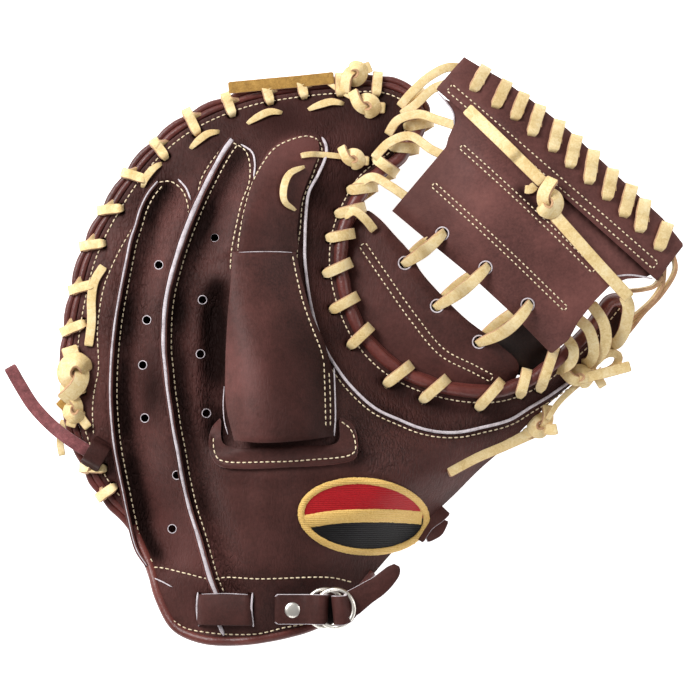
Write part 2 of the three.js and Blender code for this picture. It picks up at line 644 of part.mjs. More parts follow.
// Rolled welts: two thin rolls side by side along the laced edge, in one section
const rollTurn = Math.atan2(rollRise.inner - rollRise.outer, rollInset.inner - rollInset.outer);
const rollArc = (inset, rise, start, sweepAngle) => [0, 1, 2, 3].map((k) => {
  const a = rollTurn + start + (k / 3) * sweepAngle;
  return [rise + rollRadius * Math.sin(a), inset + rollRadius * Math.cos(a)];
});
const weltSection = [
  ...rollArc(rollInset.outer, rollRise.outer, 1.1, 2 * Math.PI - 2.2),
  ...rollArc(rollInset.inner, rollRise.inner, -1.9, 3.8),
].reverse();
function welt(points, name) {
  place(name, sweep(curved(points, 10), upright, weltSection), 'welt');
}
welt(lacedRim, 'rim_welt');
welt(crotchRim, 'crotch_welt');

// Laces round the edge of the hand. Each turn has pairs of inset and rise from the joint face.
const laceReach = 2.6;
const rimEdge = {
  over: (x, y) => highest(back.at, x, y, laceReach),
  under: (x, y) => lowest(palmBottom.at, x, y, laceReach),
  level: rimHeight.at,
  outermost: -2,
  turn: [[4.4, 6.8], [-2.4, 0.4], [1.2, -4.2]],
};
const baseDrop = 9.6;
const crotchEdge = {
  ...rimEdge,
  under: (x, y) => Math.min(
    lowest(palmBottom.at, x, y, laceReach), lowest(webBaseTop.at, x, y, laceReach) - webThick),
  turn: [[7.9, 6.6], [4.2, 8.4], [-2.4, 0.4], [-2.4, -baseDrop]],
};
const webSide = (x, y) => [x, y, webLow.at(x, y) - bandThick - laceThick / 2 - 4 * gap];
const webStrands = [
  { turn: 0, way: [[44, 134, 54], webSide(54, 132)] },
  { turn: 1, way: [webSide(55, 116)] },
  { turn: 2, way: [webSide(50, 101)] },
  { turn: 4, way: [webSide(30, 73)] },
  { turn: 15, way: [[133, 32, 50], [148, 37, 56], webSide(160, 44)] },
];
place('rim_lace', whipLace(rimTurns, rimEdge), 'lace');
place('crotch_lace', whipLace(crotchTurns, crotchEdge, webStrands), 'lace');

// Web: an upper panel with a folded band along its edge, and a lower piece laced to the crotch
const eyeletAt = ([x, y]) => prism(ellipse(x, y, eyeletRadius, eyeletRadius, 8));
const webHoles = laceHoles(webTurns);
place('web_panel', cut(sheet(outlines.webPanel, above(webLow, 0), above(webLow, webThick)),
  [...eyelets.map(({ upper }) => eyeletAt(upper)), ...webHoles]), 'leather');
const bandFace = webThick + gap + bandThick;
const bandBody = sheet(outlines.webBand, above(webLow, -gap - bandThick), above(webLow, bandFace));
const bandHollow = sheet(outlines.bandHollow, above(webLow, -gap), above(webLow, webThick + gap));
place('web_band', cut(bandBody, [bandHollow, ...webHoles]), 'leather');
const crotchDrops = crotchTurns.slice(4).map((w) => (
  laceHole(w.edgeX + w.ux * w.off, w.edgeY + w.uy * w.off, w.ux, w.uy)));
place('web_base', cut(sheet(outlines.webBase, above(webBaseTop, -webThick), above(webBaseTop, 0)),
  [...eyelets.map(({ lower }) => eyeletAt(lower)), ...crotchDrops]), 'leather');
const webEdge = {
  over: (x, y) => webLow.at(x, y) + bandFace,
  under: (x, y) => webLow.at(x, y) - gap - bandThick,
  level: webLow.at,
  outermost: -2,
  turn: [[1, bandFace + 2.9], [-2.4, 2], [1, -gap - bandThick - 2.6]],
};
place('web_top_lace', whipLace(webTurns, webEdge), 'lace');

// Laces tied across the web's window through the eyelets, each one closed loop
const loopShare = 0.3;
eyelets.forEach(({ upper, lower }, i) => {
  const [dx, dy] = [upper[0] - lower[0], upper[1] - lower[1]];
  const half = laceThick / 2 + laceClear;
  const on = (t, z) => [lower[0] + dx * t, lower[1] + dy * t, z];
  const [baseAt, panelAt] = [on(loopShare, 0), on(1 - loopShare, 0)];
  const baseTop = webBaseTop.at(baseAt[0], baseAt[1]);
  const panelLow = webLow.at(panelAt[0], panelAt[1]);
  const loop = [
    on(0, webBaseTop.at(...lower) - webThick - half), on(0, webBaseTop.at(...lower) + half),
    on(loopShare, baseTop + half + 1), on(1 - loopShare, panelLow + webThick + half + 1.4),
    on(1, webLow.at(...upper) + webThick + half), on(1, webLow.at(...upper) - half),
    on(1 - loopShare, panelLow - half - 1), on(loopShare, baseTop - webThick - half),
  ];
  place(`window_lace_${i + 1}`,
    sweep(loop, () => [-dy, dx, 0], flatSection(laceWidth, laceThick), true), 'lace');
});

// A flat lace lying on a surface, given by its way in plan
const acrossWay = (points) => (i) => {
  const [ax, ay] = points[Math.max(i - 1, 0)];
  const [bx, by] = points[Math.min(i + 1, points.length - 1)];
  return [ay - by, bx - ax, 0];
};
const padOutlines = [outlines.indexPad, outlines.hood];
function overBack(x, y) {
  const onPad = padOutlines.some((outline) => isInside(x, y, outline)) ? gap + 2 : 0;
  const crossed = Object.keys(fins).find((name) => distanceToLine(x, y, fins[name]) < 1.4 * finWidth);
  if (!crossed) return back.at(x, y) + onPad;
  return highest(back.at, x, y, 3) + finLift + finHeight[crossed];
}
function layLace(way, surface, lift = 0, width = laceWidth - 0.5) {
  const points = curved(way, 6.5).map(([x, y]) => (
    [x, y, highest(surface, x, y, 3.4) + gap + laceThick / 2 + lift]));
  return sweep(points, acrossWay(points), flatSection(width, laceThick));
}
const knotSolid = (x, y, z, [sx, sy, sz]) => (
  toSolid(new THREE.SphereGeometry(1, 8, 6).scale(sx, sy, sz).translate(x, y, z)));
function tie({ at: [x, y], size, tails, lift = 0 }, surface) {
  const z = highest(surface, x, y, size[0] * 0.7, size[1] * 0.7) + lift + gap + size[2] * 0.85;
  return tails.reduce((whole, way) => whole.add(layLace(way, surface, lift)),
    knotSolid(x, y, z, size));
}
for (const [name, way] of Object.entries(flatLaces)) lay(name, layLace(way, overBack), 'lace');
for (const [name, knot] of Object.entries(knots)) {
  lay(name, tie(knot, knot.surface === 'rolls' ? rimHeight.at : overBack), 'lace');
}
lay('web_tie', tie(webKnot, (x, y) => webLow.at(x, y) + webThick), 'lace');

// Rolled piping along the wrist opening
const pipingRadius = 2.2;
const hem = shifted(rimPoints.slice(-wristRim.length), pipingRadius + 0.2)
  .map(([x, y]) => [x, y, back.at(x, y) - leather / 2]);
place('wrist_piping', sweep(curved(hem, 10), upright, roundSection(pipingRadius, 6)), 'welt');

// Wrist strap, down through the slots at both ends
const strapY = slots[0].y;
const overFin = 2.4;
const strapWay = [
  [slots[0].x - 6.5, -5.4], [slots[0].x - 1.8, -4.8],
  [slots[0].x + 1.6, overFin], [slots[0].x + 7, overFin],
  [slots[1].x - 7, overFin], [slots[1].x - 1.6, overFin],
  [slots[1].x + 1.8, -4.8], [slots[1].x + 6.5, -5.4],
].map(([x, rise]) => {
  const ground = (u, v) => Math.sign(rise) * back.at(u, v);
  return [x, strapY, Math.sign(rise) * highest(ground, x, strapY, 2, strapWidth / 2) + rise];
});
place('wrist_strap', sweep(strapWay, () => [0, 1, 0], flatSection(strapWidth, strapThick)), 'leather');

// Riveted tab folded round two rings, and the strap end that passes through them
const seatZ = Math.max(...[-34, -24, -14, -4, 6].flatMap((x) => (
  [-136, -129, -122].map((y) => back.at(x, y)))));
const tabThick = 2;
const tabWay = [
  [-37, 1.4], [-12, 1.4], [-9.4, 5.8], [-12, 11], [-17, 9.8], [-22.5, 3.8], [-37, 3.8],
].map(([x, rise]) => [x, rivetAt[1], seatZ + rise]);
lay('rivet_tab', sweep(tabWay, () => [0, 1, 0], flatSection(strapWidth, tabThick)), 'leather');
const rivetProfile = [[0, 0], [4.2, 0], [3.8, 0.9], [2.2, 1.5], [0, 1.7]];
place('rivet', toSolid(new THREE.LatheGeometry(
  rivetProfile.map(([r, z]) => new THREE.Vector2(r, z)), 16).rotateX(Math.PI / 2)
  .translate(rivetAt[0], rivetAt[1], seatZ + 3.8 + tabThick / 2 + gap)), 'steel');
const bow = Array.from({ length: 9 }, (_, k) => {
  const a = Math.PI * (0.5 - k / 8);
  return [ring.corner + (ring.reach - ring.corner) * Math.cos(a), (ring.wide / 2) * Math.sin(a)];
});
rings.forEach(({ name, x, rise }) => {
  const loop = [[0, -ring.wide / 2 + 1], [0, 0], [0, ring.wide / 2 - 1], ...bow]
    .map(([u, v]) => [x + u, rivetAt[1] + v, seatZ + rise]);
  place(name, sweep(loop, upright, roundSection(ringWire, 6), true), 'steel');
});
const tailWay = [
  [11.5, 6.5, 1.4], [2.5, 2, 1.4], [-4.8, 0.3, 1.2], [-6.8, 0, 5.2], [-4.4, 0.3, 9.6], [2.5, 1.5, 9.6],
  [10, 6, 5.6], [17.5, 11.5, 4.4], [25, 18.5, 2.4],
].map(([x, y, rise]) => [x, rivetAt[1] + y, seatZ + rise]);
const tailSide = (i) => (i > 2 && i < 6 ? [0, 1, 0] : acrossWay(i < 3 ? tailWay.slice(0, 3)
  : tailWay.slice(5))(i < 3 ? i : i - 5).map((v, k) => (i < 3 ? -v : v)));
place('strap_tail', sweep(tailWay, tailSide, flatSection(strapWidth - 3, tabThick)), 'leather');

// Pinky strap with its keeper, and the leather tie on the thumb side
const pinkyWay = [
  [-171, -8.5, 33], [-165.5, -18, 36], [-159, -28, 39.5], [-150, -37.5, 44.5], [-141, -44.5, 50.4],
  [-134, -49, 51.6], [-125, -54, back.at(-125, -54) + 1.9],
];
place('pinky_strap', sweep(curved(pinkyWay, 7), acrossWay(curved(pinkyWay, 7)),
  flatSection(6.5, 2)), 'suede');
const keeper = { x: -127, y: -52, turn: 1.05 };
const keeperWay = [[-7, 0.6], [-5.2, 1.4], [-4.6, 5], [0, 5.6], [4.6, 5], [5.2, 1.4], [7, 0.6]]
  .map(([along, rise]) => {
    const [x, y] = [keeper.x + along * Math.cos(keeper.turn), keeper.y + along * Math.sin(keeper.turn)];
    return [x, y, highest(back.at, keeper.x, keeper.y, 6) + rise + 1];
  });
place('strap_keeper', sweep(keeperWay, () => [Math.sin(keeper.turn), -Math.cos(keeper.turn), 0],
  flatSection(9, 1.6)), 'leather');

// The mitt's middle in plan goes to the origin
const bounds = new THREE.Box3().setFromObject(mitt);
const middle = bounds.getCenter(new THREE.Vector3());
mitt.position.set(-middle.x, -middle.y, -bounds.min.z);

export default mitt;
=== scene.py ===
# Catcher's mitt for the left hand, lying palm down with its back up, seen from straight above.
# Tables are in millimetres in the mitt's own plan: +Y towards the finger tips, thumb and web on +X.
import math

import bpy
import numpy as np
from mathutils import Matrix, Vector
from mathutils.geometry import delaunay_2d_cdt


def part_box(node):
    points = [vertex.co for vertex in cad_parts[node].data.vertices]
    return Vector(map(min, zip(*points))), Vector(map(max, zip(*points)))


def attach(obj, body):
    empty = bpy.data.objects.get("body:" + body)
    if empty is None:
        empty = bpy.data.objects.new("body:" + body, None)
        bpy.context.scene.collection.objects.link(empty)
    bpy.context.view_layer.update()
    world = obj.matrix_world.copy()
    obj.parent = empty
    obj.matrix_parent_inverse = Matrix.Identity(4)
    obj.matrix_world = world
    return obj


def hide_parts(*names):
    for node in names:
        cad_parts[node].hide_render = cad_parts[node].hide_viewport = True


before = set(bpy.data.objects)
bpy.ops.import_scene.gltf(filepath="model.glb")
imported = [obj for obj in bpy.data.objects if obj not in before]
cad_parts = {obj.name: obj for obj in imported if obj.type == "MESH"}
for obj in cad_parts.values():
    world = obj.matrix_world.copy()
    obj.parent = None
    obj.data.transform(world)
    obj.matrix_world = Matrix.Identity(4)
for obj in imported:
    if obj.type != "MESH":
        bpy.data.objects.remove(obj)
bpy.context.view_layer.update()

rivetAt = (-28.5, -129.5)
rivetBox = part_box("rivet")
planShift = np.array([(rivetBox[0][k] + rivetBox[1][k]) * 500 - rivetAt[k] for k in (0, 1)])

leatherThick = 3.0
laceWidth = 5.0
laceThick = 1.9
flangeWidth = 13.0    # the flat lip that the laces go through
upwards = (0.0, 0.0, 1.0)

# Edge of the mitt, clockwise from the lower left: x, y, height of the back's joint face, and of the palm's
lacedRim = [
    (-111.5, -89, 40, 40), (-125, -75, 41, 41), (-136, -56, 42, 42), (-144, -30, 44, 44),
    (-145, 0, 44, 44), (-141.5, 25, 44, 44), (-135, 50, 43, 43), (-122.5, 75, 42, 42),
    (-104.5, 100, 41, 41), (-83.5, 117.5, 40, 40), (-55, 130, 38, 38), (-30, 135, 38, 38),
    (-5, 137.5, 38, 38), (15, 138, 39, 39), (27, 134.5, 40, 40), (36, 128, 42, 42),
    (40, 120, 44, 44), (38, 111, 47, 47), (32, 101, 49, 49), (25, 92, 51, 51),
]
crotchRim = [
    (18, 87, 52, 52), (11, 81, 54, 54), (5.5, 72, 55, 55), (1, 62, 57, 57), (-1.5, 50, 59, 59),
    (-1, 37.5, 60, 60), (2, 25, 61, 61), (6.5, 14, 62, 62), (13, 4.5, 62, 62), (22.5, -4.5, 62, 62),
    (34, -11, 62, 62), (46, -15, 62, 62), (60, -17.5, 61, 61), (75, -17, 59, 59), (90, -11, 57, 57),
    (104, -0.5, 54, 54), (115, 9.5, 51, 51), (122.5, 19, 48, 48), (129, 27, 46, 46),
]
thumbRim = [
    (136, 27.5, 43, 43), (139, 19, 40, 40), (137, 7.5, 39, 39), (131, -1, 38, 38), (120, -11, 37, 37),
    (105, -23.5, 37, 37), (90, -37.5, 37, 37), (77.5, -50, 37, 37), (65, -61, 38, 38),
    (52.5, -73.5, 39, 38), (40, -85, 41, 37), (25, -98.5, 45, 34), (12.5, -112.5, 50, 30),
]
wristRim = [
    (0, -127.5, 55, 26), (-15, -138.5, 59, 24), (-30, -143.5, 61, 24), (-55, -147.5, 61, 24),
    (-75, -146.5, 58, 25), (-89, -140, 53, 28), (-97.5, -125, 47, 33), (-102, -110, 43, 38),
]
# Height of the back over the hand before it falls to the edge: x, y, height
crownRows = [
    (-118, 20, 62), (-95, 85, 58), (-114, -40, 66), (-90, 40, 74), (-100, -80, 66), (-70, 90, 68),
    (-60, 40, 82), (-80, -30, 84), (-75, -90, 80), (-40, 108, 62), (-25, 85, 74), (-30, 40, 86),
    (-40, -20, 92), (-20, -70, 92), (-30, -115, 79), (-55, -147, 66), (0, -127, 62), (22, -78, 84),
    (10, -35, 92), (50, -45, 86), (90, -28, 74), (120, 2, 62), (132, 18, 52), (-95, -125, 54),
    (0, 10, 86), (-5, 108, 56),
]
webRows = [
    (22, 70, 64), (46, 101, 66), (50, 130, 62), (57, 147, 57), (115, 110, 60), (167, 50, 56),
    (60, 90, 76), (100, 60, 80), (80, 35, 79), (118, 22, 74), (100, 0, 67), (152, 36, 64),
]
webBaseRows = [
    (5, 62, 54), (3, 25, 58), (22, -8, 59), (60, -20, 58), (85, -14, 55), (23, 57, 66),
    (42, 31, 72), (65, 10, 74), (83, -2, 68),
]
# Seams of the back, where cut edges stand up
pinkySeam = [
    (-96.5, 84.5), (-101, 79), (-105, 71), (-107.5, 62.5), (-110, 55), (-112, 45), (-114, 35), (-117.5, 15),
    (-119.5, -5), (-120, -25), (-118.5, -45), (-116.5, -57.5), (-114, -70), (-111.5, -82.5), (-107, -100),
    (-101.5, -108.5),
]
ringSeam = [
    (-59.5, 105), (-63, 100), (-68.5, 90), (-73.5, 80), (-78, 70), (-82, 60), (-85.5, 50), (-88.5, 40),
    (-91, 30), (-92.5, 20), (-93, 10), (-93, 0), (-92, -10), (-91, -20), (-89.5, -30), (-88, -40),
    (-86, -50), (-83.5, -65), (-80, -80), (-76, -92.5), (-72.5, -105), (-69.5, -115), (-66.5, -122.5),
]
ringSeamEnd = [(-66, -135.5), (-64.5, -139), (-63, -142.5)]
thumbSeam = [
    (-14, 106.5), (-12, 102.5), (-12, 97.5), (-16, 87.5), (-20.5, 79), (-22, 67.5), (-22.5, 55),
    (-22.5, 45), (-21.5, 35), (-20, 25), (-17, 12.5), (-12, 0), (-7.5, -7.5), (0, -17.5), (12.5, -29),
    (25, -35), (35, -39), (45, -41), (55, -41), (65, -39), (80, -35), (90, -29), (100, -23),
    (110, -16), (120, -10), (125, -6),
]
# Tips of the leathers that lie over the back
indexPad = [
    (-57, 49.4), (-55, 59), (-51.5, 74), (-47, 88), (-41, 99), (-34, 104.5), (-24, 107.5),
    (-17, 106.5), (-15.5, 100), (-19, 90), (-24, 77), (-26.5, 60), (-26.5, 49.4),
]
tongueTips = [
    [(-96, 84), (-90, 86), (-83, 81.5), (-79.5, 73), (-79, 60), (-90, 40), (-108, 62)],
    [(-59, 105), (-51.5, 101.5), (-48, 93), (-48.5, 82), (-52, 72), (-57.5, 48), (-80, 40), (-78, 70)],
]

# Palm: the ball pocket, and how the padding swells in from the edge
pocket = {"x": -15, "y": 25, "rise": 34, "inner": 12, "outer": 74}
pad = {"thick": 15.0, "slope": 20.0, "lip": 4.0}

# Whip laces: where a turn crosses the edge and the hole that it comes up through
rimWraps = [
    (-126, -74, -118, -68.5), (-134.5, -59, -123, -59.5), (-144.3, -20, -133.5, -20), (-144, 9, -133, 13.5),
    (-140, 30, -128.5, 33), (-134.5, 52, -123.5, 53.5), (-125.5, 70, -114.5, 71), (-113.5, 89, -102.5, 85.5),
    (-98.5, 105, -92.5, 96.5), (-82, 120, -76.5, 108.5), (-62.5, 128, -59, 118), (-42.5, 133, -40, 124),
    (-25, 136, -23, 127), (-5, 138, -5, 128), (14, 138.5, 13, 127.8),
]
crotchWraps = [
    (35.5, 129, 27, 123), (39, 114, 28, 112), (32, 101, 20.5, 102), (21.5, 89.5, 12.5, 96),
    (11, 81.5, -0.5, 80), (5, 71, -6.5, 68), (0, 58, -11, 56), (-1.4, 43, -12.5, 38), (2, 26, -9, 20),
    (9, 10.5, 0, 2), (29, -8.5, 18, -17), (47, -15.5, 36, -25), (74.5, -17.3, 64, -29), (88, -12, 85, -23),
    (101.5, -1.5, 95, -20),
]
webTopWraps = [
    (68.5, 142, 61.5, 130), (79, 135, 72.5, 121.5), (87.5, 129, 82, 115.5), (95.5, 123, 90.5, 107.5),
    (105, 115.5, 101, 99.5), (113.5, 108, 109.5, 91.5), (122, 100.5, 119, 83.5), (131.5, 91, 128, 75.5),
    (141, 83, 136.5, 67), (147.5, 76, 144.5, 59.5), (159, 64, 154, 50.5),
]
eyelets = [
    {"upper": (46, 58), "lower": (27.5, 43.5)},
    {"upper": (67.5, 41), "lower": (43.5, 22)},
    {"upper": (88.5, 22.5), "lower": (64.5, 4)},
]
vents = [
    (-95.5, 42.5), (-101.5, 15), (-103.5, -7.5), (-102.5, -34), (-86.5, -62.5), (-89, -89.5),
    (-67.5, 56), (-73.5, 25), (-74.5, -2), (-71.5, -31.5),
]


# Numbers and curves

def smooth(t):
    t = np.clip(t, 0, 1)
    return t * t * (3 - 2 * t)


def unit(v):
    v = np.asarray(v, float)
    return v / np.maximum(np.linalg.norm(v, axis=-1, keepdims=True), 1e-9)


def runOf(line, closed=False):
    # Unit vectors along a line
    if closed:
        return unit(np.roll(line, -1, axis=0) - np.roll(line, 1, axis=0))
    return unit(np.gradient(line, axis=0))


def closedUp(line):
    return np.vstack([line, line[:1]])


def planOf(rows):
    return np.array([row[:2] for row in rows], float)


def laidOn(line, surface, lift=0.0):
    # A plan line with the heights of a surface
    x, y = np.asarray(line, float)[:, :2].T
    return np.column_stack([x, y, surface(x, y) + lift])


def resampled(line, step, closed=False):
    line = closedUp(line) if closed else line
    legs = np.linalg.norm(np.diff(line[:, :3], axis=0), axis=1)
    at = np.concatenate([[0], np.cumsum(legs)])
    count = max(3, int(round(at[-1] / step)) + 1)
    where = np.linspace(0, at[-1], count)
    out = np.column_stack([np.interp(where, at, line[:, k]) for k in range(line.shape[1])])
    return out[:-1] if closed else out


def curved(points, step, closed=False):
    # Smooth curve through points, evenly sampled
    p = np.array(points, float)
    if closed:
        ext = np.vstack([p[-1:], p, p[:2]])
    else:
        ext = np.vstack([2 * p[:1] - p[1:2], p, 2 * p[-1:] - p[-2:-1]])
    parts = []
    s = np.linspace(0, 1, 14, endpoint=False)[:, None]
    for i in range(len(ext) - 3):
        a, b, c, d = ext[i:i + 4]
        t1, t2, t3 = (max(np.linalg.norm((v - u)[:3]), 1e-6) ** 0.5 for u, v in ((a, b), (b, c), (c, d)))
        m1 = t2 * ((b - a) / t1 - (c - a) / (t1 + t2) + (c - b) / t2)
        m2 = t2 * ((c - b) / t2 - (d - b) / (t2 + t3) + (d - c) / t3)
        parts.append((2 * s**3 - 3 * s**2 + 1) * b + (s**3 - 2 * s**2 + s) * m1
                     + (3 * s**2 - 2 * s**3) * c + (s**3 - s**2) * m2)
    if not closed:
        parts.append(p[-1:])
    return resampled(np.vstack(parts), step, closed)


def shifted(line, distance, closed=False):
    # A plan line moved to the right of the way that it runs, by one distance or by one for each point
    line = np.asarray(line, float)[:, :2]
    along = runOf(line, closed)
    return line + np.reshape(distance, (-1, 1)) * np.column_stack([along[:, 1], -along[:, 0]])


def distanceTo(x, y, line):
    line = np.asarray(line, float)
    best = np.full(np.shape(x), 1e9)
    for (ax, ay), (bx, by) in zip(line[:-1, :2], line[1:, :2]):
        dx, dy = bx - ax, by - ay
        t = np.clip(((x - ax) * dx + (y - ay) * dy) / max(dx * dx + dy * dy, 1e-9), 0, 1)
        best = np.minimum(best, np.hypot(x - ax - t * dx, y - ay - t * dy))
    return best


def isInside(x, y, outline):
    inside = np.zeros(np.shape(x), bool)
    pts = np.asarray(outline, float)[:, :2]
    for (ax, ay), (bx, by) in zip(pts, np.roll(pts, -1, axis=0)):
        if ay == by:
            continue
        crosses = (ay > y) != (by > y)
        inside ^= crosses & (x < (bx - ax) * (y - ay) / (by - ay) + ax)
    return inside


def cornered(points, corners, step=2.0):
    # A closed outline that is smooth between its corners
    parts = []
    n = len(points)
    for a, b in zip(corners, corners[1:] + [corners[0] + n]):
        parts.append(curved([points[k % n] for k in range(a, b + 1)], step)[:-1])
    return np.vstack(parts)


def surfaceThrough(rows):
    # Thin-plate surface through rows of x, y and height
    rows = np.array(rows, float)
    p = rows[:, :2] / 100
    kernel = lambda r2: 0.5 * r2 * np.log(np.maximum(r2, 1e-9))
    n = len(p)
    a = np.zeros((n + 3, n + 3))
    a[:n, :n] = kernel(((p[:, None] - p[None]) ** 2).sum(2))
    a[:n, n] = a[n, :n] = 1
    a[:n, n + 1:] = p
    a[n + 1:, :n] = p.T
    w = np.linalg.solve(a, np.concatenate([rows[:, 2], np.zeros(3)]))

    def at(x, y):
        u, v = np.asarray(x, float) / 100, np.asarray(y, float) / 100
        z = w[n] + w[n + 1] * u + w[n + 2] * v
        for (px, py), wi in zip(p, w):
            z = z + wi * kernel((u - px) ** 2 + (v - py) ** 2)
        return z
    return at


# Heights are kept on a square grid and read between its nodes with cubic weights, so they are smooth
gridStep = 2.0
gridX = np.arange(-194, 196, gridStep)
gridY = np.arange(-170, 172, gridStep)
planeX, planeY = np.meshgrid(gridX, gridY)


def blurred(z, along, across=None):
    for axis, size in ((1, along), (0, along if across is None else across)):
        sigma = size / gridStep
        if sigma < 0.2:
            continue
        reach = int(3 * sigma) + 1
        k = np.exp(-0.5 * (np.arange(-reach, reach + 1) / sigma) ** 2)
        k /= k.sum()
        pad = [(0, 0), (0, 0)]
        pad[axis] = (reach, reach)
        z = np.apply_along_axis(lambda m: np.convolve(m, k, "valid"), axis, np.pad(z, pad, "edge"))
    return z


class Field:
    def __init__(self, z):
        self.z = z

    def __call__(self, x, y):
        u = (np.asarray(x, float) - gridX[0]) / gridStep
        v = (np.asarray(y, float) - gridY[0]) / gridStep
        i = np.clip(np.floor(u).astype(int), 1, len(gridX) - 3)
        j = np.clip(np.floor(v).astype(int), 1, len(gridY) - 3)
        weights = []
        for f in (u - i, v - j):
            weights.append((-0.5 * f + f**2 - 0.5 * f**3, 1 - 2.5 * f**2 + 1.5 * f**3,
                            0.5 * f + 2 * f**2 - 1.5 * f**3, -0.5 * f**2 + 0.5 * f**3))
        out = 0
        for b in range(4):
            row = 0
            for a in range(4):
                row = row + weights[0][a] * self.z[j - 1 + b, i - 1 + a]
            out = out + weights[1][b] * row
        return out


def wander(seed, along, across=None):
    # Even random unevenness of the leather, of about that size
    z = blurred(np.random.default_rng(seed).normal(size=planeX.shape), along, across)
    return z / z.std()


rimTable = lacedRim + crotchRim + thumbRim + wristRim
rimPoints = planOf(rimTable)
lacedLine = planOf(lacedRim + crotchRim)
thumbLine = planOf(thumbRim)
plainLine = planOf([crotchRim[-1]] + thumbRim + wristRim + [lacedRim[0]])


def rimOutline(laced, thumb, wrist, step):
    # The mitt's edge drawn in by one amount for each part, with an even change from one to the next
    inset = np.repeat([wrist, laced, thumb, wrist], [1, len(lacedLine) - 1, len(thumbRim), len(wristRim)])
    line = curved(rimPoints, 2.0, closed=True)
    nearest = np.argmin(((line[:, None] - rimPoints[None]) ** 2).sum(2), axis=1)
    amount = inset[nearest]
    amount = np.convolve(np.concatenate([amount[-3:], amount, amount[:3]]), np.ones(7) / 7, "valid")
    return resampled(shifted(line, amount, True), step, True)


def nearLine(line, wide):
    # 1 on a line of the plan, falling to 0 on both sides
    return np.exp(-(distanceTo(planeX, planeY, line) / wide) ** 2)


def nearSpot(x, y, wide, tall):
    return np.exp(-((planeX - x) / wide) ** 2 - ((planeY - y) / tall) ** 2)


# Channels beside the seams and the hood, and how much painted shade each one gets
channels = [
    {"line": shifted(curved(pinkySeam, 4.0), -6.5), "depth": 8.0, "wide": 8.0, "dark": 1.15},
    {"line": shifted(curved(ringSeam, 4.0), -6.5), "depth": 7.5, "wide": 8.0, "dark": 1.0},
    {"line": thumbSeam, "depth": 2.5, "wide": 8.0, "dark": 0.6},
    {"line": [(-67, 22), (-68.5, 0), (-68.5, -25), (-67, -44)], "depth": 10.0, "wide": 7.5, "dark": 1.0},
]
crown = {"fromLaces": 46, "fromThumb": 34, "blur": 4.0}    # the back is at full height this far in
insideRim = isInside(planeX, planeY, rimPoints)
palmRimGrid = surfaceThrough([(x, y, low) for x, y, high, low in rimTable])(planeX, planeY)
rimLiftGrid = surfaceThrough([(x, y, high - low) for x, y, high, low in rimTable])(planeX, planeY)
crownGrid = surfaceThrough(crownRows)(planeX, planeY)
fromLaced = np.where(insideRim, distanceTo(planeX, planeY, lacedLine), 0)
fromThumb = np.where(insideRim, distanceTo(planeX, planeY, thumbLine), 0)
edgeGrid = palmRimGrid + np.maximum(0, rimLiftGrid) + 0.3 + leatherThick
riseGrid = (np.sin(np.clip((fromLaced - flangeWidth) / crown["fromLaces"], 0, 1) * math.pi / 2)
            * np.sin(np.clip((fromThumb + 2) / crown["fromThumb"], 0, 1) * math.pi / 2))
fullGrid = blurred(edgeGrid + np.maximum(0, crownGrid - edgeGrid) * riseGrid, crown["blur"])
dentGrid = np.max([part["depth"] * nearLine(part["line"], part["wide"]) for part in channels], axis=0)
backGrid = fullGrid - blurred(dentGrid * riseGrid, 2.0)
backGrid += riseGrid * (0.5 * wander(3, 9) + 0.35 * wander(5, 4, 14))
back = Field(backGrid)
rimHeight = Field(palmRimGrid)
webLow = Field(surfaceThrough(webRows)(planeX, planeY) + 0.35 * wander(11, 8))
webBaseTop = Field(np.minimum(surfaceThrough(webBaseRows)(planeX, planeY), palmRimGrid - leatherThick - 1.5))

fromPlain = distanceTo(planeX, planeY, plainLine) - pad["lip"]
insidePalm = np.where(insideRim, np.clip(np.minimum(
    distanceTo(planeX, planeY, lacedLine) - flangeWidth, fromPlain), 0, None), 0)
fromPocket = np.hypot(planeX - pocket["x"], planeY - pocket["y"]) - pocket["inner"]
pocketGrid = pocket["rise"] * (1 - smooth(fromPocket / (pocket["outer"] - pocket["inner"])))
palmEdge = palmRimGrid - leatherThick
swelling = smooth(insidePalm / pad["slope"])
palmLowGrid = blurred(np.maximum(0, palmEdge + (pocketGrid - palmEdge) * swelling), 3)
palmHighGrid = np.minimum(palmLowGrid + leatherThick + (pad["thick"] - leatherThick) * swelling, palmRimGrid)
palmLow = Field(np.maximum(palmLowGrid, 0))
palmHigh = Field(blurred(palmHighGrid, 2))

# Painted shade, 0 none to 1 darkest: in the channels, at the foot of the hood, round the tab and the laces, and
# darker towards the wrist and the heel; the finger tips' panel is a darker leather
core = {"wide": 0.62, "dark": 0.62}    # the darkest line of a channel, as a share of its half width
halo = {"wide": 1.7, "dark": 0.4}      # the soft edge round it
backShadeAndToneGrid = np.zeros(planeX.shape)
for part in channels:
    near = sum(zone["dark"] * nearLine(part["line"], zone["wide"] * part["wide"]) for zone in (core, halo))
    backShadeAndToneGrid = np.maximum(backShadeAndToneGrid, near * part["dark"])
creaseGrid = np.maximum(backShadeAndToneGrid, 0.8 * nearLine([(0, -40), (22, -54)], 10))
for seam in (pinkySeam, ringSeam):
    backShadeAndToneGrid *= 1 - 0.75 * nearLine(shifted(curved(seam, 4.0), 8), 7)
backShadeAndToneGrid *= smooth((planeY + 128) / 40)
tips = smooth((planeY - 50) / 24) * smooth((fromLaced - 2) / 8) * (0.4 + 0.36 * smooth((planeX + 95) / 90))
for tip in tongueTips + [indexPad]:
    tips = np.where(isInside(planeX, planeY, tip), 0, tips)
besideHood = [(-67, 30), (-67, 0), (-66.5, -25), (-65, -44)]
besideTab = [(2, -34), (8, -48), (-2, -64), (-40, -66), (-72, -62)]
fromCrotch = distanceTo(planeX, planeY, planOf(crotchRim))
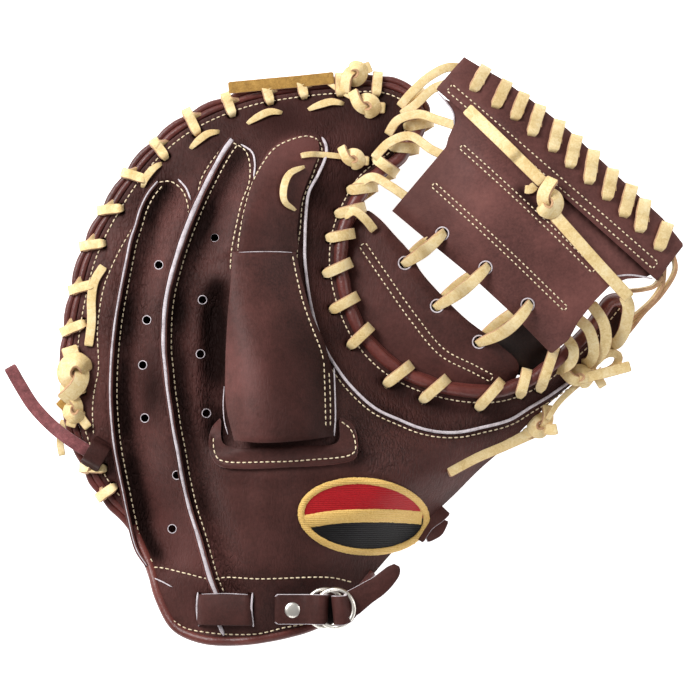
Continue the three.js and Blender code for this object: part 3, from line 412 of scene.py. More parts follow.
backShadeAndToneGrid = np.maximum.reduce([
    backShadeAndToneGrid,
    tips * (planeX < 36),                                             # between the finger tips
    smooth((11.5 - distanceTo(planeX, planeY, besideHood)) / 8),      # foot of the hood
    0.8 * nearSpot(-99, -18, 9, 26),                                  # bend of the little finger's channel
    0.7 * np.exp(-((fromCrotch - 12) / 9) ** 2),                      # round the crotch's laces
    0.5 * np.exp(-(fromThumb / 6) ** 2) * insideRim,                  # edge at the thumb
    0.5 * nearLine(besideTab, 8),                                     # round the tab
    0.4 * nearSpot(38, -54, 20, 11),                                  # root of the thumb
    0.46 * smooth((-98 - planeY) / 14),                               # wrist
    0.33 * smooth((-50 - planeY) / 16),                               # heel of the hand
])
backShadeAndToneGrid = np.clip(blurred(backShadeAndToneGrid, 1.6) * (1 + 0.14 * wander(8, 6)) + 0.07 * wander(9, 14), 0, 1)
backShadeAndToneAt = Field(backShadeAndToneGrid)
creaseAt = Field(np.clip(blurred(creaseGrid, 2) * (1 + 0.3 * wander(12, 7)), 0.05, 1))
# Painted shade on the hood: darker towards its right and lower part, with some uneven patches
hoodShadeGrid = np.maximum(0.62 * smooth((planeX + 56) / 26) * smooth((34 - planeY) / 40),
                          0.2 * smooth((planeX + 40) / 18))
hoodShadeAt = Field(np.clip(blurred(hoodShadeGrid, 3) + 0.09 * wander(14, 12), 0, 1))
# Painted shade on the web: under the band's edge, under the tie lace beside the knot and on the part that turns
# down; and a little random mottling
webShadeAndMottleGrid = np.maximum.reduce([
    0.95 * nearLine([(105, 77.5), (130, 55.6), (153.5, 34.5)], 2.6),      # foot of the band
    0.9 * nearLine([(85, 79), (96, 67)], 2.8),                            # beside the knot
    0.5 * smooth((74 - planeX) / 36) * (planeY > planeX * -0.85 + 80),    # the part that turns down
])
webShadeAndMottleGrid += 0.12 * smooth((wander(31, 11) - 0.2) / 1.6)
webShadeAndMottleAt = Field(np.clip(blurred(webShadeAndMottleGrid, 1.0), 0, 1))
print("heights worked out")


# Materials

def hexColor(text):
    # sRGB hex to linear RGBA
    values = [int(text[k:k + 2], 16) / 255 for k in (1, 3, 5)]
    return [v / 12.92 if v <= 0.04045 else ((v + 0.055) / 1.055) ** 2.4 for v in values] + [1.0]


def perMetre(size):
    # Texture scale that gives a pattern of this many millimetres
    return 1000 / size


def connect(tree, node, values):
    for key, value in values.items():
        if isinstance(value, bpy.types.NodeSocket):
            tree.links.new(value, node.inputs[key])
        else:
            node.inputs[key].default_value = value


def addNode(tree, kind, values, out=0, stops=(), **settings):
    made = tree.nodes.new("ShaderNode" + kind)
    for key, value in settings.items():
        setattr(made, key, value)
    connect(tree, made, values)
    for k, (at, color) in enumerate(stops):
        band = made.color_ramp.elements
        element = band[k] if k < len(band) else band.new(at)
        element.position, element.color = at, hexColor(color)
    return made.outputs[out]


def startMaterial(name):
    made = bpy.data.materials.new(name)
    made.use_nodes = True
    tree = made.node_tree
    return made, tree, tree.nodes["Principled BSDF"], addNode(tree, "TexCoord", {}, out="Object")


def grainLeather(name, look):
    # Oiled full-grain cowhide: pores of a millimetre, wrinkles that run along the fingers, and a broad soft
    # shine. A point attribute paints shade into the colour, towards near black, and dulls the shine with it; it
    # also carries the darker tone of some leathers
    made, tree, shader, place = startMaterial(name)
    shadeAndToneShare = addNode(tree, "Attribute", {}, out="Fac", attribute_name="shadeAndToneShare")
    wrinkled = addNode(tree, "Attribute", {}, out="Fac", attribute_name="creased")
    cloudy, fine, dots, swell, rubbed = [addNode(tree, "TexNoise", {
        "Vector": place, "Scale": perMetre(size), "Detail": detail, "Roughness": rough})
        for size, detail, rough in ((look["cloud"], 5, 0.62), (look["speck"], 3, 0.7), (look["dot"], 2, 0.55),
                                    (look["swell"], 2, 0.55), (look["rubbed"], 3, 0.55))]
    fine = addNode(tree, "Math", {0: fine, 1: 0.2}, operation="MULTIPLY")
    speckled = addNode(tree, "Math", {0: cloudy, 1: 0.8, 2: fine}, operation="MULTIPLY_ADD")
    color = addNode(tree, "ValToRGB", {"Fac": speckled}, stops=[
        (0.38, look["dark"]), (0.5, look["base"]), (0.64, look["lit"])])
    flecks = addNode(tree, "MapRange", {
        "Value": dots, "From Min": 0.35, "From Max": 0.75, "To Max": look["fleck"]})
    mixed = addNode(tree, "Mix", {0: flecks, 6: color, 7: hexColor(look["lit"])}, out=2, data_type="RGBA")
    deep = addNode(tree, "Math", {0: shadeAndToneShare, 1: 0.96}, operation="MULTIPLY")
    shadeAndToneColor = addNode(tree, "Mix", {0: deep, 6: mixed, 7: hexColor(look["shadeAndToneColor"])}, out=2, data_type="RGBA")

    spread = addNode(tree, "Mapping", {
        "Vector": place, "Scale": [perMetre(size) for size in look["wrinkle"]],
        "Rotation": (0, 0, look["turn"])})
    wobble = addNode(tree, "TexNoise", {"Vector": spread, "Scale": 0.5, "Detail": 3}, out="Color")
    bent = addNode(tree, "VectorMath", {0: wobble, 1: (2.2, 2.2, 2.2), 2: spread}, operation="MULTIPLY_ADD")
    lines = addNode(tree, "TexVoronoi", {"Vector": bent, "Scale": 0.8}, feature="DISTANCE_TO_EDGE")
    grooves = addNode(tree, "MapRange", {"Value": lines, "From Max": 0.2})
    waves = addNode(tree, "TexNoise", {
        "Vector": spread, "Scale": 1.0, "Detail": 4, "Roughness": 0.6, "Distortion": 0.6})
    cells = addNode(tree, "TexVoronoi", {"Vector": place, "Scale": perMetre(look["pore"])},
                    feature="DISTANCE_TO_EDGE")
    share = addNode(tree, "Math", {0: wrinkled, 1: 0.9, 2: 0.06}, operation="MULTIPLY_ADD")
    waves = addNode(tree, "Math", {0: waves, 1: share}, operation="MULTIPLY")
    grooves = addNode(tree, "Math", {0: grooves, 1: share}, operation="MULTIPLY")
    normal = addNode(tree, "Bump", {"Height": cells, "Distance": 0.00012, "Strength": look["poreDepth"]})
    depth = look["wrinkleDepth"]
    for height, distance, strength in ((waves, 0.0022, depth), (grooves, 0.001, depth), (swell, 0.0008, 0.25)):
        normal = addNode(tree, "Bump", {
            "Height": height, "Distance": distance, "Strength": strength, "Normal": normal})

    rough = addNode(tree, "MapRange", {"Value": rubbed, "To Min": look["rough"][0], "To Max": look["rough"][1]})
    # The shine drops where shade is painted
    shine = addNode(tree, "Math", {0: shadeAndToneShare, 1: -0.85 * look["shine"], 2: look["shine"]},
                    operation="MULTIPLY_ADD")
    connect(tree, shader, {"Specular IOR Level": look["shine"]})    # for a viewer that doesn't read the link
    connect(tree, shader, {"Base Color": shadeAndToneColor, "Roughness": rough, "Normal": normal, "IOR": 1.5,
                           "Specular IOR Level": shine})
    return made


# Sizes in millimetres: cloud and speck are light and dark patches, dot the paler flecks, rubbed where the
# shine changes, swell the soft unevenness, and wrinkle the size of one across, along and down
# In each table the near-black colour is painted shade, mixed in where the mesh is marked for it
backHide = {
    "dark": "#38221f", "base": "#4d2e2a", "lit": "#643c38", "shadeAndToneColor": "#0f0807", "cloud": 62.5, "fleck": 0.3,
    "speck": 2.381, "dot": 1.111, "swell": 7.69, "rubbed": 16.67, "rough": (0.46, 0.58), "shine": 0.15,
    "pore": 1.053, "poreDepth": 0.5, "wrinkle": (1.5625, 4.762, 2.5), "turn": 0.12, "wrinkleDepth": 0.75,
}
webHide = {**backHide, "dark": "#4f312e", "base": "#653f3b", "lit": "#7c4f49", "wrinkle": (3.846, 3.846, 3.846),
           "wrinkleDepth": 0.4, "shine": 0.13, "rough": (0.5, 0.62)}
palmHide = {**backHide, "wrinkle": (5, 5, 5), "wrinkleDepth": 0.3}
weltHide = {**backHide, "dark": "#43211c", "base": "#572924", "lit": "#6e3831", "wrinkle": (2, 2, 2),
            "shine": 0.4, "rough": (0.32, 0.45)}
# Near-black leather: painted shade behind the eyelets and inside the window; also the strip under the strap tail
nearBlackHide = {**backHide, "dark": "#1c1513", "base": "#261c1a", "lit": "#352725", "shine": 0.25}
leather = grainLeather("oiled cowhide, dark brown, smooth grain", backHide)
webLeather = grainLeather("oiled cowhide, web panels", webHide)
palmLeather = grainLeather("oiled cowhide, palm", palmHide)
weltLeather = grainLeather("rolled calfskin welt, glazed", weltHide)
nearBlackLeather = grainLeather("near-black cowhide, dull", nearBlackHide)


def fibreMaterial(name, look):
    # Cut or napped side of the hide: loose fibres scatter the light, so it is matt and paler than the grain
    made, tree, shader, place = startMaterial(name)
    fibres = addNode(tree, "TexNoise", {
        "Vector": place, "Scale": perMetre(look["fibre"]), "Detail": 5, "Roughness": 0.7, "Distortion": 1.2})
    patches = addNode(tree, "TexNoise", {
        "Vector": place, "Scale": perMetre(look["patch"]), "Detail": 3, "Roughness": 0.55})
    patches = addNode(tree, "Math", {0: patches, 1: 0.4}, operation="MULTIPLY")
    both = addNode(tree, "Math", {0: fibres, 1: 0.6, 2: patches}, operation="MULTIPLY_ADD")
    color = addNode(tree, "ValToRGB", {"Fac": both}, stops=[
        (0.32, look["dark"]), (0.5, look["base"]), (0.68, look["lit"])])
    normal = addNode(tree, "Bump", {"Height": fibres, "Distance": look["depth"], "Strength": 0.8})
    connect(tree, shader, {"Base Color": color, "Normal": normal, "Roughness": look["rough"],
                           "Sheen Weight": look["sheen"]})
    return made


cutEdge = fibreMaterial("chrome-tanned hide, cut edge", {
    "dark": "#85777a", "base": "#c6bbc0", "lit": "#e6dfe3", "fibre": 0.6667, "patch": 3.846,
    "depth": 0.0003, "rough": 0.85, "sheen": 0.2})
lace = fibreMaterial("rawhide lace, grain side", {
    "dark": "#cba968", "base": "#e4ca92", "lit": "#f2e1b6", "fibre": 2, "patch": 11.11,
    "depth": 0.0002, "rough": 0.62, "sheen": 0.05})
laceEdge = fibreMaterial("rawhide lace, cut side", {
    "dark": "#8c6546", "base": "#b98f69", "lit": "#d2ae86", "fibre": 0.7692, "patch": 5,
    "depth": 0.0002, "rough": 0.8, "sheen": 0.1})
tanSuede = fibreMaterial("tan suede, napped", {
    "dark": "#7a5620", "base": "#a57c36", "lit": "#c0964d", "fibre": 0.9091, "patch": 3.333,
    "depth": 0.0005, "rough": 0.95, "sheen": 0.4})
redSuede = fibreMaterial("reddish suede, napped", {
    "dark": "#4c2426", "base": "#743c3e", "lit": "#96595a", "fibre": 0.9091, "patch": 3.333,
    "depth": 0.0005, "rough": 0.95, "sheen": 0.35})


def threadMaterial(name, colors, rough):
    # Twisted thread, slightly waxed: fine strands that catch the light in short dashes
    made, tree, shader, place = startMaterial(name)
    strands = addNode(tree, "TexNoise", {
        "Vector": place, "Scale": perMetre(0.3846), "Detail": 2, "Roughness": 0.6, "Distortion": 0.5})
    color = addNode(tree, "ValToRGB", {"Fac": strands}, stops=[(0.3, colors[0]), (0.7, colors[1])])
    rows = addNode(tree, "TexWave", {    # a wave's bands are a third of that size apart, one strand of thread
        "Vector": place, "Scale": perMetre(3.333), "Distortion": 1.5, "Detail": 2}, out="Fac", bands_direction="Y")
    both = addNode(tree, "Math", {0: strands, 1: rows}, operation="ADD")
    normal = addNode(tree, "Bump", {"Height": both, "Distance": 0.0003, "Strength": 0.7})
    connect(tree, shader, {"Base Color": color, "Normal": normal, "Roughness": rough,
                           "Specular IOR Level": 0.16})
    return made


thread = threadMaterial("waxed polyester thread, cream", ("#dcc298", "#fbeed2"), 0.5)
goldThread = threadMaterial("satin-stitched rayon, gold", ("#c9963f", "#f5d489"), 0.38)
redThread = threadMaterial("fill-stitched rayon, red", ("#8c1018", "#c01c25"), 0.5)
blackThread = threadMaterial("fill-stitched rayon, black", ("#070607", "#141114"), 0.55)


def nickelMaterial():
    # A faint haze breaks up the reflection, as on plate that has been handled
    made, tree, shader, place = startMaterial("nickel plate, polished")
    haze, stain = [addNode(tree, "TexNoise", {
        "Vector": place, "Scale": perMetre(size), "Detail": detail, "Roughness": 0.55})
        for size, detail in ((4, 4), (11.11, 3))]
    rough = addNode(tree, "MapRange", {"Value": haze, "To Min": 0.28, "To Max": 0.42})
    color = addNode(tree, "ValToRGB", {"Fac": stain}, stops=[(0.3, "#e4ddd2"), (0.7, "#f4f0e8")])
    connect(tree, shader, {"Base Color": color, "Roughness": rough, "Metallic": 1.0})
    return made


nickel = nickelMaterial()


# Mesh building

class Piece:
    # Collects points and faces in plan millimetres and becomes one object
    def __init__(self, name, shadeAndToneAt=None, creased=None):
        self.name = name
        self.maps = {"shadeAndToneShare": shadeAndToneAt, "creased": creased}
        self.points = []
        self.faces = []
        self.kinds = []
        self.looks = []
        self.count = 0

    def add(self, points, faces, look):
        base = self.count
        self.points.append(np.asarray(points, float))
        self.count += len(points)
        self.addFaces(faces, look, base)
        return base

    def addFaces(self, faces, look, base):
        if look not in self.looks:
            self.looks.append(look)
        self.faces.extend([tuple(int(v) + base for v in face) for face in faces])
        self.kinds.extend([self.looks.index(look)] * len(faces))

    def make(self, nodes=()):
        points = np.vstack(self.points)
        points[:, :2] += planShift
        mesh = bpy.data.meshes.new(self.name)
        mesh.from_pydata((points * 0.001).tolist(), [], self.faces)
        for look in self.looks:
            mesh.materials.append(look)
        mesh.polygons.foreach_set("material_index", self.kinds)
        mesh.polygons.foreach_set("use_smooth", [True] * len(self.faces))
        mesh.update()
        for key, amountAt in self.maps.items():
            if amountAt:
                values = amountAt(points[:, 0] - planShift[0], points[:, 1] - planShift[1])
                mesh.attributes.new(key, "FLOAT", "POINT").data.foreach_set("value", np.clip(values, 0, 1))
        made = bpy.data.objects.new(self.name, mesh)
        bpy.context.scene.collection.objects.link(made)
        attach(made, "root")
        if nodes:
            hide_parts(*nodes)
        return made


def even(amount):
    return lambda x, y: amount + 0 * x


def triangulated(outline, holes, extra, step):
    # Triangles of a plan outline with holes, through a grid of points and the extra ones
    loops = [np.asarray(loop)[:, :2] for loop in [outline] + list(holes)]
    low, high = loops[0].min(0), loops[0].max(0)
    rows = []
    for k, y in enumerate(np.arange(low[1], high[1], step * 0.866)):
        xs = np.arange(low[0] + (k % 2) * step / 2, high[0], step)
        rows.append(np.column_stack([xs, np.full(len(xs), y)]))
    points = np.vstack(rows)
    keep = np.ones(len(points), bool)
    for start in range(0, len(extra), 400):
        near = ((points[:, None] - extra[start:start + 400][None]) ** 2).sum(2).min(1)
        keep &= near > (0.6 * step) ** 2
    points = np.vstack([points[keep], extra])
    keep = isInside(points[:, 0], points[:, 1], loops[0])
    for loop in loops:
        keep &= distanceTo(points[:, 0], points[:, 1], closedUp(loop)) > 0.35 * step
    for hole in loops[1:]:
        keep &= ~isInside(points[:, 0], points[:, 1], hole)
    points = points[keep]
    verts, edges = [], []
    for loop in loops:
        base = len(verts)
        verts.extend(Vector(p) for p in loop.tolist())
        edges.extend((base + i, base + (i + 1) % len(loop)) for i in range(len(loop)))
    verts.extend(Vector(p) for p in points.tolist())
    coords, _, faces, _, _, _ = delaunay_2d_cdt(verts, edges, [], 0, 1e-4)
    coords = np.array([tuple(c) for c in coords])
    faces = np.array([f for f in faces if len(f) == 3])
    middle = coords[faces].mean(1)
    keep = isInside(middle[:, 0], middle[:, 1], loops[0])
    for hole in loops[1:]:
        keep &= ~isInside(middle[:, 0], middle[:, 1], hole)
    faces = faces[keep]
    a, b, c = (coords[faces[:, k]] for k in range(3))
    turn = (b - a)[:, 0] * (c - a)[:, 1] - (b - a)[:, 1] * (c - a)[:, 0]
    faces = np.where((turn > 0)[:, None], faces, faces[:, ::-1])[np.abs(turn) > 1e-6]
    return coords, faces


# The groove that a row of stitches pulls into the leather, and the low lips beside it
groove = {"depth": 0.5, "half": 0.9, "lip": 0.12, "lipAt": 2.4, "lipHalf": 1.2}


def addShell(piece, outline, top, thick, look, holes=(), creases=(), step=2.4, bevel=0.45, edgeLook=None,
             bottom=None):
    # A sheet of leather over a plan outline: top is its upper surface, and its cut edge shows
    outline = np.asarray(outline)
    inner = shifted(outline, bevel * 1.6, True)
    if not isInside(inner[:1, 0], inner[:1, 1], outline)[0]:
        inner = shifted(outline, -bevel * 1.6, True)
    extra = [inner] + [hole.mean(0) + (hole - hole.mean(0)) * 1.35 for hole in holes]
    for line in creases:
        line = resampled(line[:, :2], 1.8)
        extra += [line] + [shifted(line, away) for away in (1.1, -1.1, groove["lipAt"], -groove["lipAt"])]
    coords, faces = triangulated(outline, holes, np.vstack(extra), step)
    x, y = coords.T
    z = top(x, y)
    for line in creases:
        away = distanceTo(x, y, line)
        z = (z - groove["depth"] * np.exp(-(away / groove["half"]) ** 2)
             + groove["lip"] * np.exp(-((away - groove["lipAt"]) / groove["lipHalf"]) ** 2))
    directed = {pair: True for a, b, c in faces.tolist() for pair in ((a, b), (b, c), (c, a))}
    rim = [(a, b) for a, b in directed if (b, a) not in directed]
    onRim = np.zeros(len(x), bool)
    onRim[[a for a, b in rim]] = True
    low = bottom(x, y) if bottom else z - thick
    z = np.where(onRim, z - bevel, z)
    piece.add(np.column_stack([x, y, z]), faces, look)
    piece.add(np.column_stack([x, y, low]), faces[:, ::-1], look)
    ids = sorted({v for edge in rim for v in edge})
    number = {v: k for k, v in enumerate(ids)}
    n = len(ids)
    wall = np.vstack([np.column_stack([x[ids], y[ids], height[ids]]) for height in (z, low)])
    piece.add(wall, [(number[b], number[a], number[a] + n, number[b] + n) for a, b in rim], edgeLook or look)


def addSwept(piece, points, sides, section, look, closed=False, scale=1.0, edgeLook=None, isEdge=None):
    # A section swept along points; sides gives the way that its first axis faces
    p = np.asarray(points, float)
    n, m = len(p), len(section)
    along = runOf(p, closed)
    across = np.broadcast_to(np.asarray(sides, float), p.shape)
    across = unit(across - (across * along).sum(1, keepdims=True) * along)
    out = np.cross(along, across)
    scale = np.asarray(scale, float)
    scale = (scale.reshape(n, -1) if scale.size > 1 else scale) * np.ones((n, 2))
    section = np.asarray(section, float)
    ring = (p[:, None] + across[:, None] * (section[None, :, :1] * scale[:, None, :1])
            + out[:, None] * (section[None, :, 1:] * scale[:, None, 1:]))
    faces, edgeFaces = [], []
    for i in range(n if closed else n - 1):
        j = (i + 1) % n
        for k in range(m):
            h = (k + 1) % m
            quad = (i * m + k, i * m + h, j * m + h, j * m + k)
            (edgeFaces if isEdge is not None and isEdge[k] else faces).append(quad)
    if not closed:
        caps = [tuple(range(m))[::-1], tuple((n - 1) * m + k for k in range(m))]
        (edgeFaces if isEdge is not None else faces).extend(caps)
    base = piece.add(ring.reshape(-1, 3), faces, look)
    if edgeFaces:
        piece.addFaces(edgeFaces, edgeLook, base)


def roundedSection(width, thick, corner, steps=3):
    # Points of a rounded strip's section, and which of its sides are the cut edges
    points = []
    for sx, sy, quarter in ((1, 1, 0), (-1, 1, 1), (-1, -1, 2), (1, -1, 3)):
        cx, cy = sx * (width / 2 - corner), sy * (thick / 2 - corner)
        for k in range(steps + 1):
            a = (quarter + k / steps) * math.pi / 2
            points.append((cx + corner * math.cos(a), cy + corner * math.sin(a)))
    after = points[1:] + points[:1]
    return points, [abs(a[0] + b[0]) / 2 > width / 2 - corner * 0.75 for a, b in zip(points, after)]


def circleSection(radius, sides=14):
    return [(radius * math.cos(2 * math.pi * k / sides), radius * math.sin(2 * math.pi * k / sides))
            for k in range(sides)]


def addRibbon(piece, path, sides=None, width=laceWidth, thick=laceThick, look=None, edgeLook=None,
              step=1.1, closed=False, corner=0.34, widths=1.0):
    # A flat lace or strap along points, with its cut sides in their own finish
    path = np.asarray(path, float)
    if sides is None:
        along = np.gradient(path, axis=0)
        sides = np.column_stack([-along[:, 1], along[:, 0], np.zeros(len(path))])
    sides = unit(np.broadcast_to(np.asarray(sides, float), path.shape))
    widths = np.broadcast_to(np.asarray(widths, float), len(path))
    both = curved(np.column_stack([path, sides, widths]), step, closed)
    section, isEdge = roundedSection(width, thick, corner)
    scale = np.column_stack([both[:, 6], np.ones(len(both))])
    if not closed:
        scale[[0, -1]] *= 0.86
    addSwept(piece, both[:, :3], both[:, 3:6], section, look or lace, closed, scale,
             edgeLook or laceEdge, isEdge)


# One stitch: share of its length, share of its thickness and lift of each ring of points
stitch = {"radius": 0.34, "pitch": 2.9, "length": 2.05, "sunk": 0.3, "sides": 6, "rings": [
    (-0.5, 0.25, -0.25), (-0.42, 0.8, 0.05), (-0.2, 1.0, 0.3), (0.2, 1.0, 0.3), (0.42, 0.8, 0.05),
    (0.5, 0.25, -0.25)]}


def addStitches(piece, line, top, pitch=stitch["pitch"], length=stitch["length"]):
    # Running stitches along a plan line: each thread rises from its needle hole and goes back in
    line = resampled(np.asarray(line, float)[:, :2], 0.5)
    at = np.concatenate([[0], np.cumsum(np.linalg.norm(np.diff(line, axis=0), axis=1))])
    total = at[-1]
    count = max(1, int(round(total / pitch)))
    pitch = total / count
    share, fat, lift = np.array(stitch["rings"]).T
    sides = stitch["sides"]
    turns = 2 * math.pi * np.arange(sides) / sides
    faces = [(i * sides + a, i * sides + b, (i + 1) * sides + b, (i + 1) * sides + a)
             for i in range(len(share) - 1) for a, b in zip(range(sides), [*range(1, sides), 0])]
    for k in range(count):
        s = np.clip((k + 0.5) * pitch + share * length * pitch / stitch["pitch"], 0, total)
        x, y = np.interp(s, at, line[:, 0]), np.interp(s, at, line[:, 1])
        centre = np.column_stack([x, y, top(x, y) - stitch["sunk"] + lift])
        along = unit(centre[-1] - centre[0])
        across = unit(np.cross(upwards, along))
        ring = np.cos(turns)[:, None] * across + np.sin(turns)[:, None] * np.cross(along, across)
        verts = centre[:, None] + (fat * stitch["radius"])[:, None, None] * ring[None]
        piece.add(verts.reshape(-1, 3), faces, thread)


def ellipse(x, y, rx, ry, count, turn=0.0):
    a = np.arange(count) / count * 2 * math.pi
    u, v = rx * np.cos(a), ry * np.sin(a)
    return np.column_stack([x + u * math.cos(turn) - v * math.sin(turn),
                            y + u * math.sin(turn) + v * math.cos(turn)])


def slotHole(x, y, ux, uy, long=laceThick + 1.3, wide=laceWidth + 0.9):
    section, _ = roundedSection(long, wide, min(long, wide) * 0.45)
    s = np.array(section)
    return np.column_stack([x + s[:, 0] * ux - s[:, 1] * uy, y + s[:, 0] * uy + s[:, 1] * ux])


def wrapHoles(wraps):
    holes = []
    for ex, ey, hx, hy in wraps:
        reach = math.hypot(ex - hx, ey - hy)
        holes.append(slotHole(hx, hy, (ex - hx) / reach, (ey - hy) / reach))
    return holes


def addEdgeStrip(piece, line, top, width=1.3, height=1.2, lift=0.0, look=None):
    # The thin cut edge of a leather that lies over another
    line = curved(np.asarray(line, float)[:, :2], 1.8)
    section, _ = roundedSection(height, width, min(width, height) * 0.3, 2)
    scale = np.ones(len(line))
    scale[[0, -1]] = 0.4
    addSwept(piece, laidOn(line, top, height / 2 + lift), upwards, section, look or cutEdge, scale=scale)


def addHoleRing(piece, x, y, radius, surface, lift, wire, count=28, sides=8):
    # The pale cut edge round a punched hole
    ring = laidOn(ellipse(x, y, radius, radius, count), surface, lift)
    addSwept(piece, ring, upwards, circleSection(wire, sides), cutEdge, closed=True)


# Back of the mitt: one run of leather panels that share their surface at the seams

hoodOutline = [
    (-58.5, 49), (-59.3, 35), (-61, 15), (-62, -10), (-61.5, -28), (-57.5, -45), (-42.5, -46), (-25, -45),
    (-8.3, -42.8), (-8, -28), (-8.3, -12), (-12.5, 3), (-19, 18), (-24, 35), (-27, 49),
]
hoodCorners = [0, 5, 8, 10, 14]
tabOutline = [
    (-70, -43.5), (-68, -38), (-64.5, -34), (-63, -46.5), (-42.5, -48.5), (-25, -47.5), (-6, -45.5),
    (-5, -34), (1, -37), (3.5, -45), (2.5, -53.5), (-5, -56), (-25, -58), (-65, -57.5), (-69, -52),
]
seamStitch = {
    "pinkyRight": shifted(curved(pinkySeam, 2.0), -3.4),
    "ringRight": shifted(curved(ringSeam, 2.0), -3.9),
    "outerFlap": curved([(-107.5, 63.5), (-114, 52.5), (-119, 42.5), (-123, 32.5), (-125.5, 20), (-126.5, 10),
                         (-126, -10), (-128, -20), (-129, -30), (-128.5, -42.5)], 2.0),
    "pinkyTip": curved([(-96, 84), (-90, 84.5), (-84, 80), (-81, 72.5), (-80.5, 64)], 2.0),
    "ringTip": curved([(-59, 104), (-52.5, 100), (-50, 92.5), (-50.5, 82.5), (-53.5, 75), (-56.5, 62.5),
                       (-59, 49), (-59.5, 40)], 2.0),
    "ringLeft": curved([(-65, 100), (-70.5, 92.5), (-74.5, 85), (-76.5, 75), (-78, 67.5)], 2.0),
    "indexLeft": curved([(-56, 47.5), (-55, 57.5), (-52, 72.5), (-49, 82.5), (-44, 92.5), (-37.5, 101),
                         (-30, 105), (-21, 107), (-16, 105), (-14, 100), (-16, 95), (-19.5, 85), (-23.5, 75),
                         (-25, 60), (-26.5, 47.5), (-26, 37.5), (-24, 25), (-20.5, 12.5), (-15, 0),
                         (-10, -10)], 2.0),
    "thumbUnder": shifted(curved(thumbSeam[10:], 2.0), 2.6),
    "wristTop": curved([(-101.5, -109), (-95, -109), (-82.5, -111.5), (-68.5, -114.5), (-62.5, -113.5),
                        (-45, -114), (-10, -113.5), (1, -116)], 2.0),
    "wristLow": curved([(-89, -135), (-82.5, -139), (-72.5, -141), (-60, -142), (-45, -141.5), (-32.5, -138.5),
                        (-20, -136.5)], 2.0),
}
rimStitch = shifted(curved(planOf(lacedRim + crotchRim), 2.0), 8.6)[7:]
backPart = {"thick": leatherThick, "step": 2.3, "bevel": 0.5, "tipRise": 0.8, "ventRadius": 2.1,
            "ventWire": 0.24}
backOutline = rimOutline(6.2, 0.8, 3.2, 2.2)
backHoles = [ellipse(x, y, backPart["ventRadius"], backPart["ventRadius"], 16) for x, y in vents]
backHoles.append(ellipse(-35, -30, 17, 9, 28))    # the finger slot under the hood
backHoles += [slotHole(x, -129, 1, 0, 4.2, 16) for x in (-75, -50)]
backHoles += wrapHoles(rimWraps + crotchWraps)


def backTop(x, y):
    z = back(x, y)
    for tip in tongueTips:
        rise = backPart["tipRise"] * smooth(distanceTo(x, y, closedUp(tip)) / 1.2)
        z = z + np.where(isInside(x, y, tip), rise, 0)
    return z


# The back's points carry its painted shade and the finger tips' darker tone, and how much it is creased
piece = Piece("back_leather", shadeAndToneAt=backShadeAndToneAt, creased=creaseAt)
addShell(piece, backOutline, backTop, backPart["thick"], leather, holes=backHoles,
         creases=[*seamStitch.values(), rimStitch], step=backPart["step"], bevel=backPart["bevel"])
for x, y in vents:
    addHoleRing(piece, x, y, backPart["ventRadius"] + 0.05, back, -0.35, backPart["ventWire"], 20, 6)
piece.make(["pinky_panel", "ring_channel", "hand_panel", "thumb_panel"])
print("back leather made")

# Cut edges that stand up along the seams: a pale core between two thin layers of hide
finPart = {"layer": 0.9, "gap": 0.35, "lower": 0.35, "sunk": 1.0}
fins = [
    {"name": "pinky_edge", "node": "pinky_fin", "line": pinkySeam, "wide": (0.9, 1.2, 1.2, 0.5), "tall": 4.6},
    {"name": "ring_edge", "node": "ring_fin", "line": ringSeam, "wide": (2.4, 2.5, 1.5, 2.2), "tall": 4.8},
]
for fin in fins:
    piece = Piece(fin["name"])
    line = curved(fin["line"], 1.6)
    share = np.linspace(0, 1, len(line))
    wide = np.interp(share, (0, 0.25, 0.6, 1), fin["wide"])
    wide = wide * (1 + 0.12 * np.sin(share * 31) * np.sin(share * 57 + 1))
    rise = fin["tall"] * np.minimum(1, 0.35 + 6 * np.minimum(share, 1 - share))
    section, _ = roundedSection(2.0, 2.0, 0.45, 2)
    layer = finPart["layer"]
    for side, look, thick in ((0, cutEdge, wide), (-1, leather, layer), (1, leather, layer)):
        lower = finPart["lower"] * abs(side) + finPart["sunk"]
        middle = np.column_stack([shifted(line, side * (wide / 2 + finPart["gap"])),
                                  back(line[:, 0], line[:, 1]) + rise / 2 - lower])
        scale = np.column_stack([(rise + 2.0) / 2, np.broadcast_to(thick, len(line)) / 2])
        addSwept(piece, middle, upwards, section, look, scale=scale)
    piece.make([fin["node"]])

thumbEdges = [
    {"line": thumbSeam, "width": 1.5, "height": 1.7},
    {"line": ringSeamEnd, "width": 2.0, "height": 1.8, "lift": -0.3},
    {"line": [(-100, -113.5), (-94, -116), (-89, -118.5)], "width": 0.6, "height": 0.8},
    {"line": [(-86, 85.5), (-82, 81), (-79.5, 75)], "width": 0.9, "height": 1.3},
    {"line": [(-54.5, 103), (-49, 99), (-47.5, 93), (-48, 86)], "width": 0.9, "height": 1.3},
]
piece = Piece("thumb_edge")
for strip in thumbEdges:
    addEdgeStrip(piece, top=back, **strip)
piece.make(["thumb_fin"])

# Index finger pad, hood and tab
indexPart = {"thick": 2.2, "step": 2.2, "dark": 0.2}
padTop = lambda x, y: back(x, y) + indexPart["thick"]
piece = Piece("index_pad_leather", shadeAndToneAt=even(indexPart["dark"]))
addShell(piece, curved(indexPad, 2.0, True), padTop, indexPart["thick"], leather, step=indexPart["step"])
piece.make(["index_pad"])

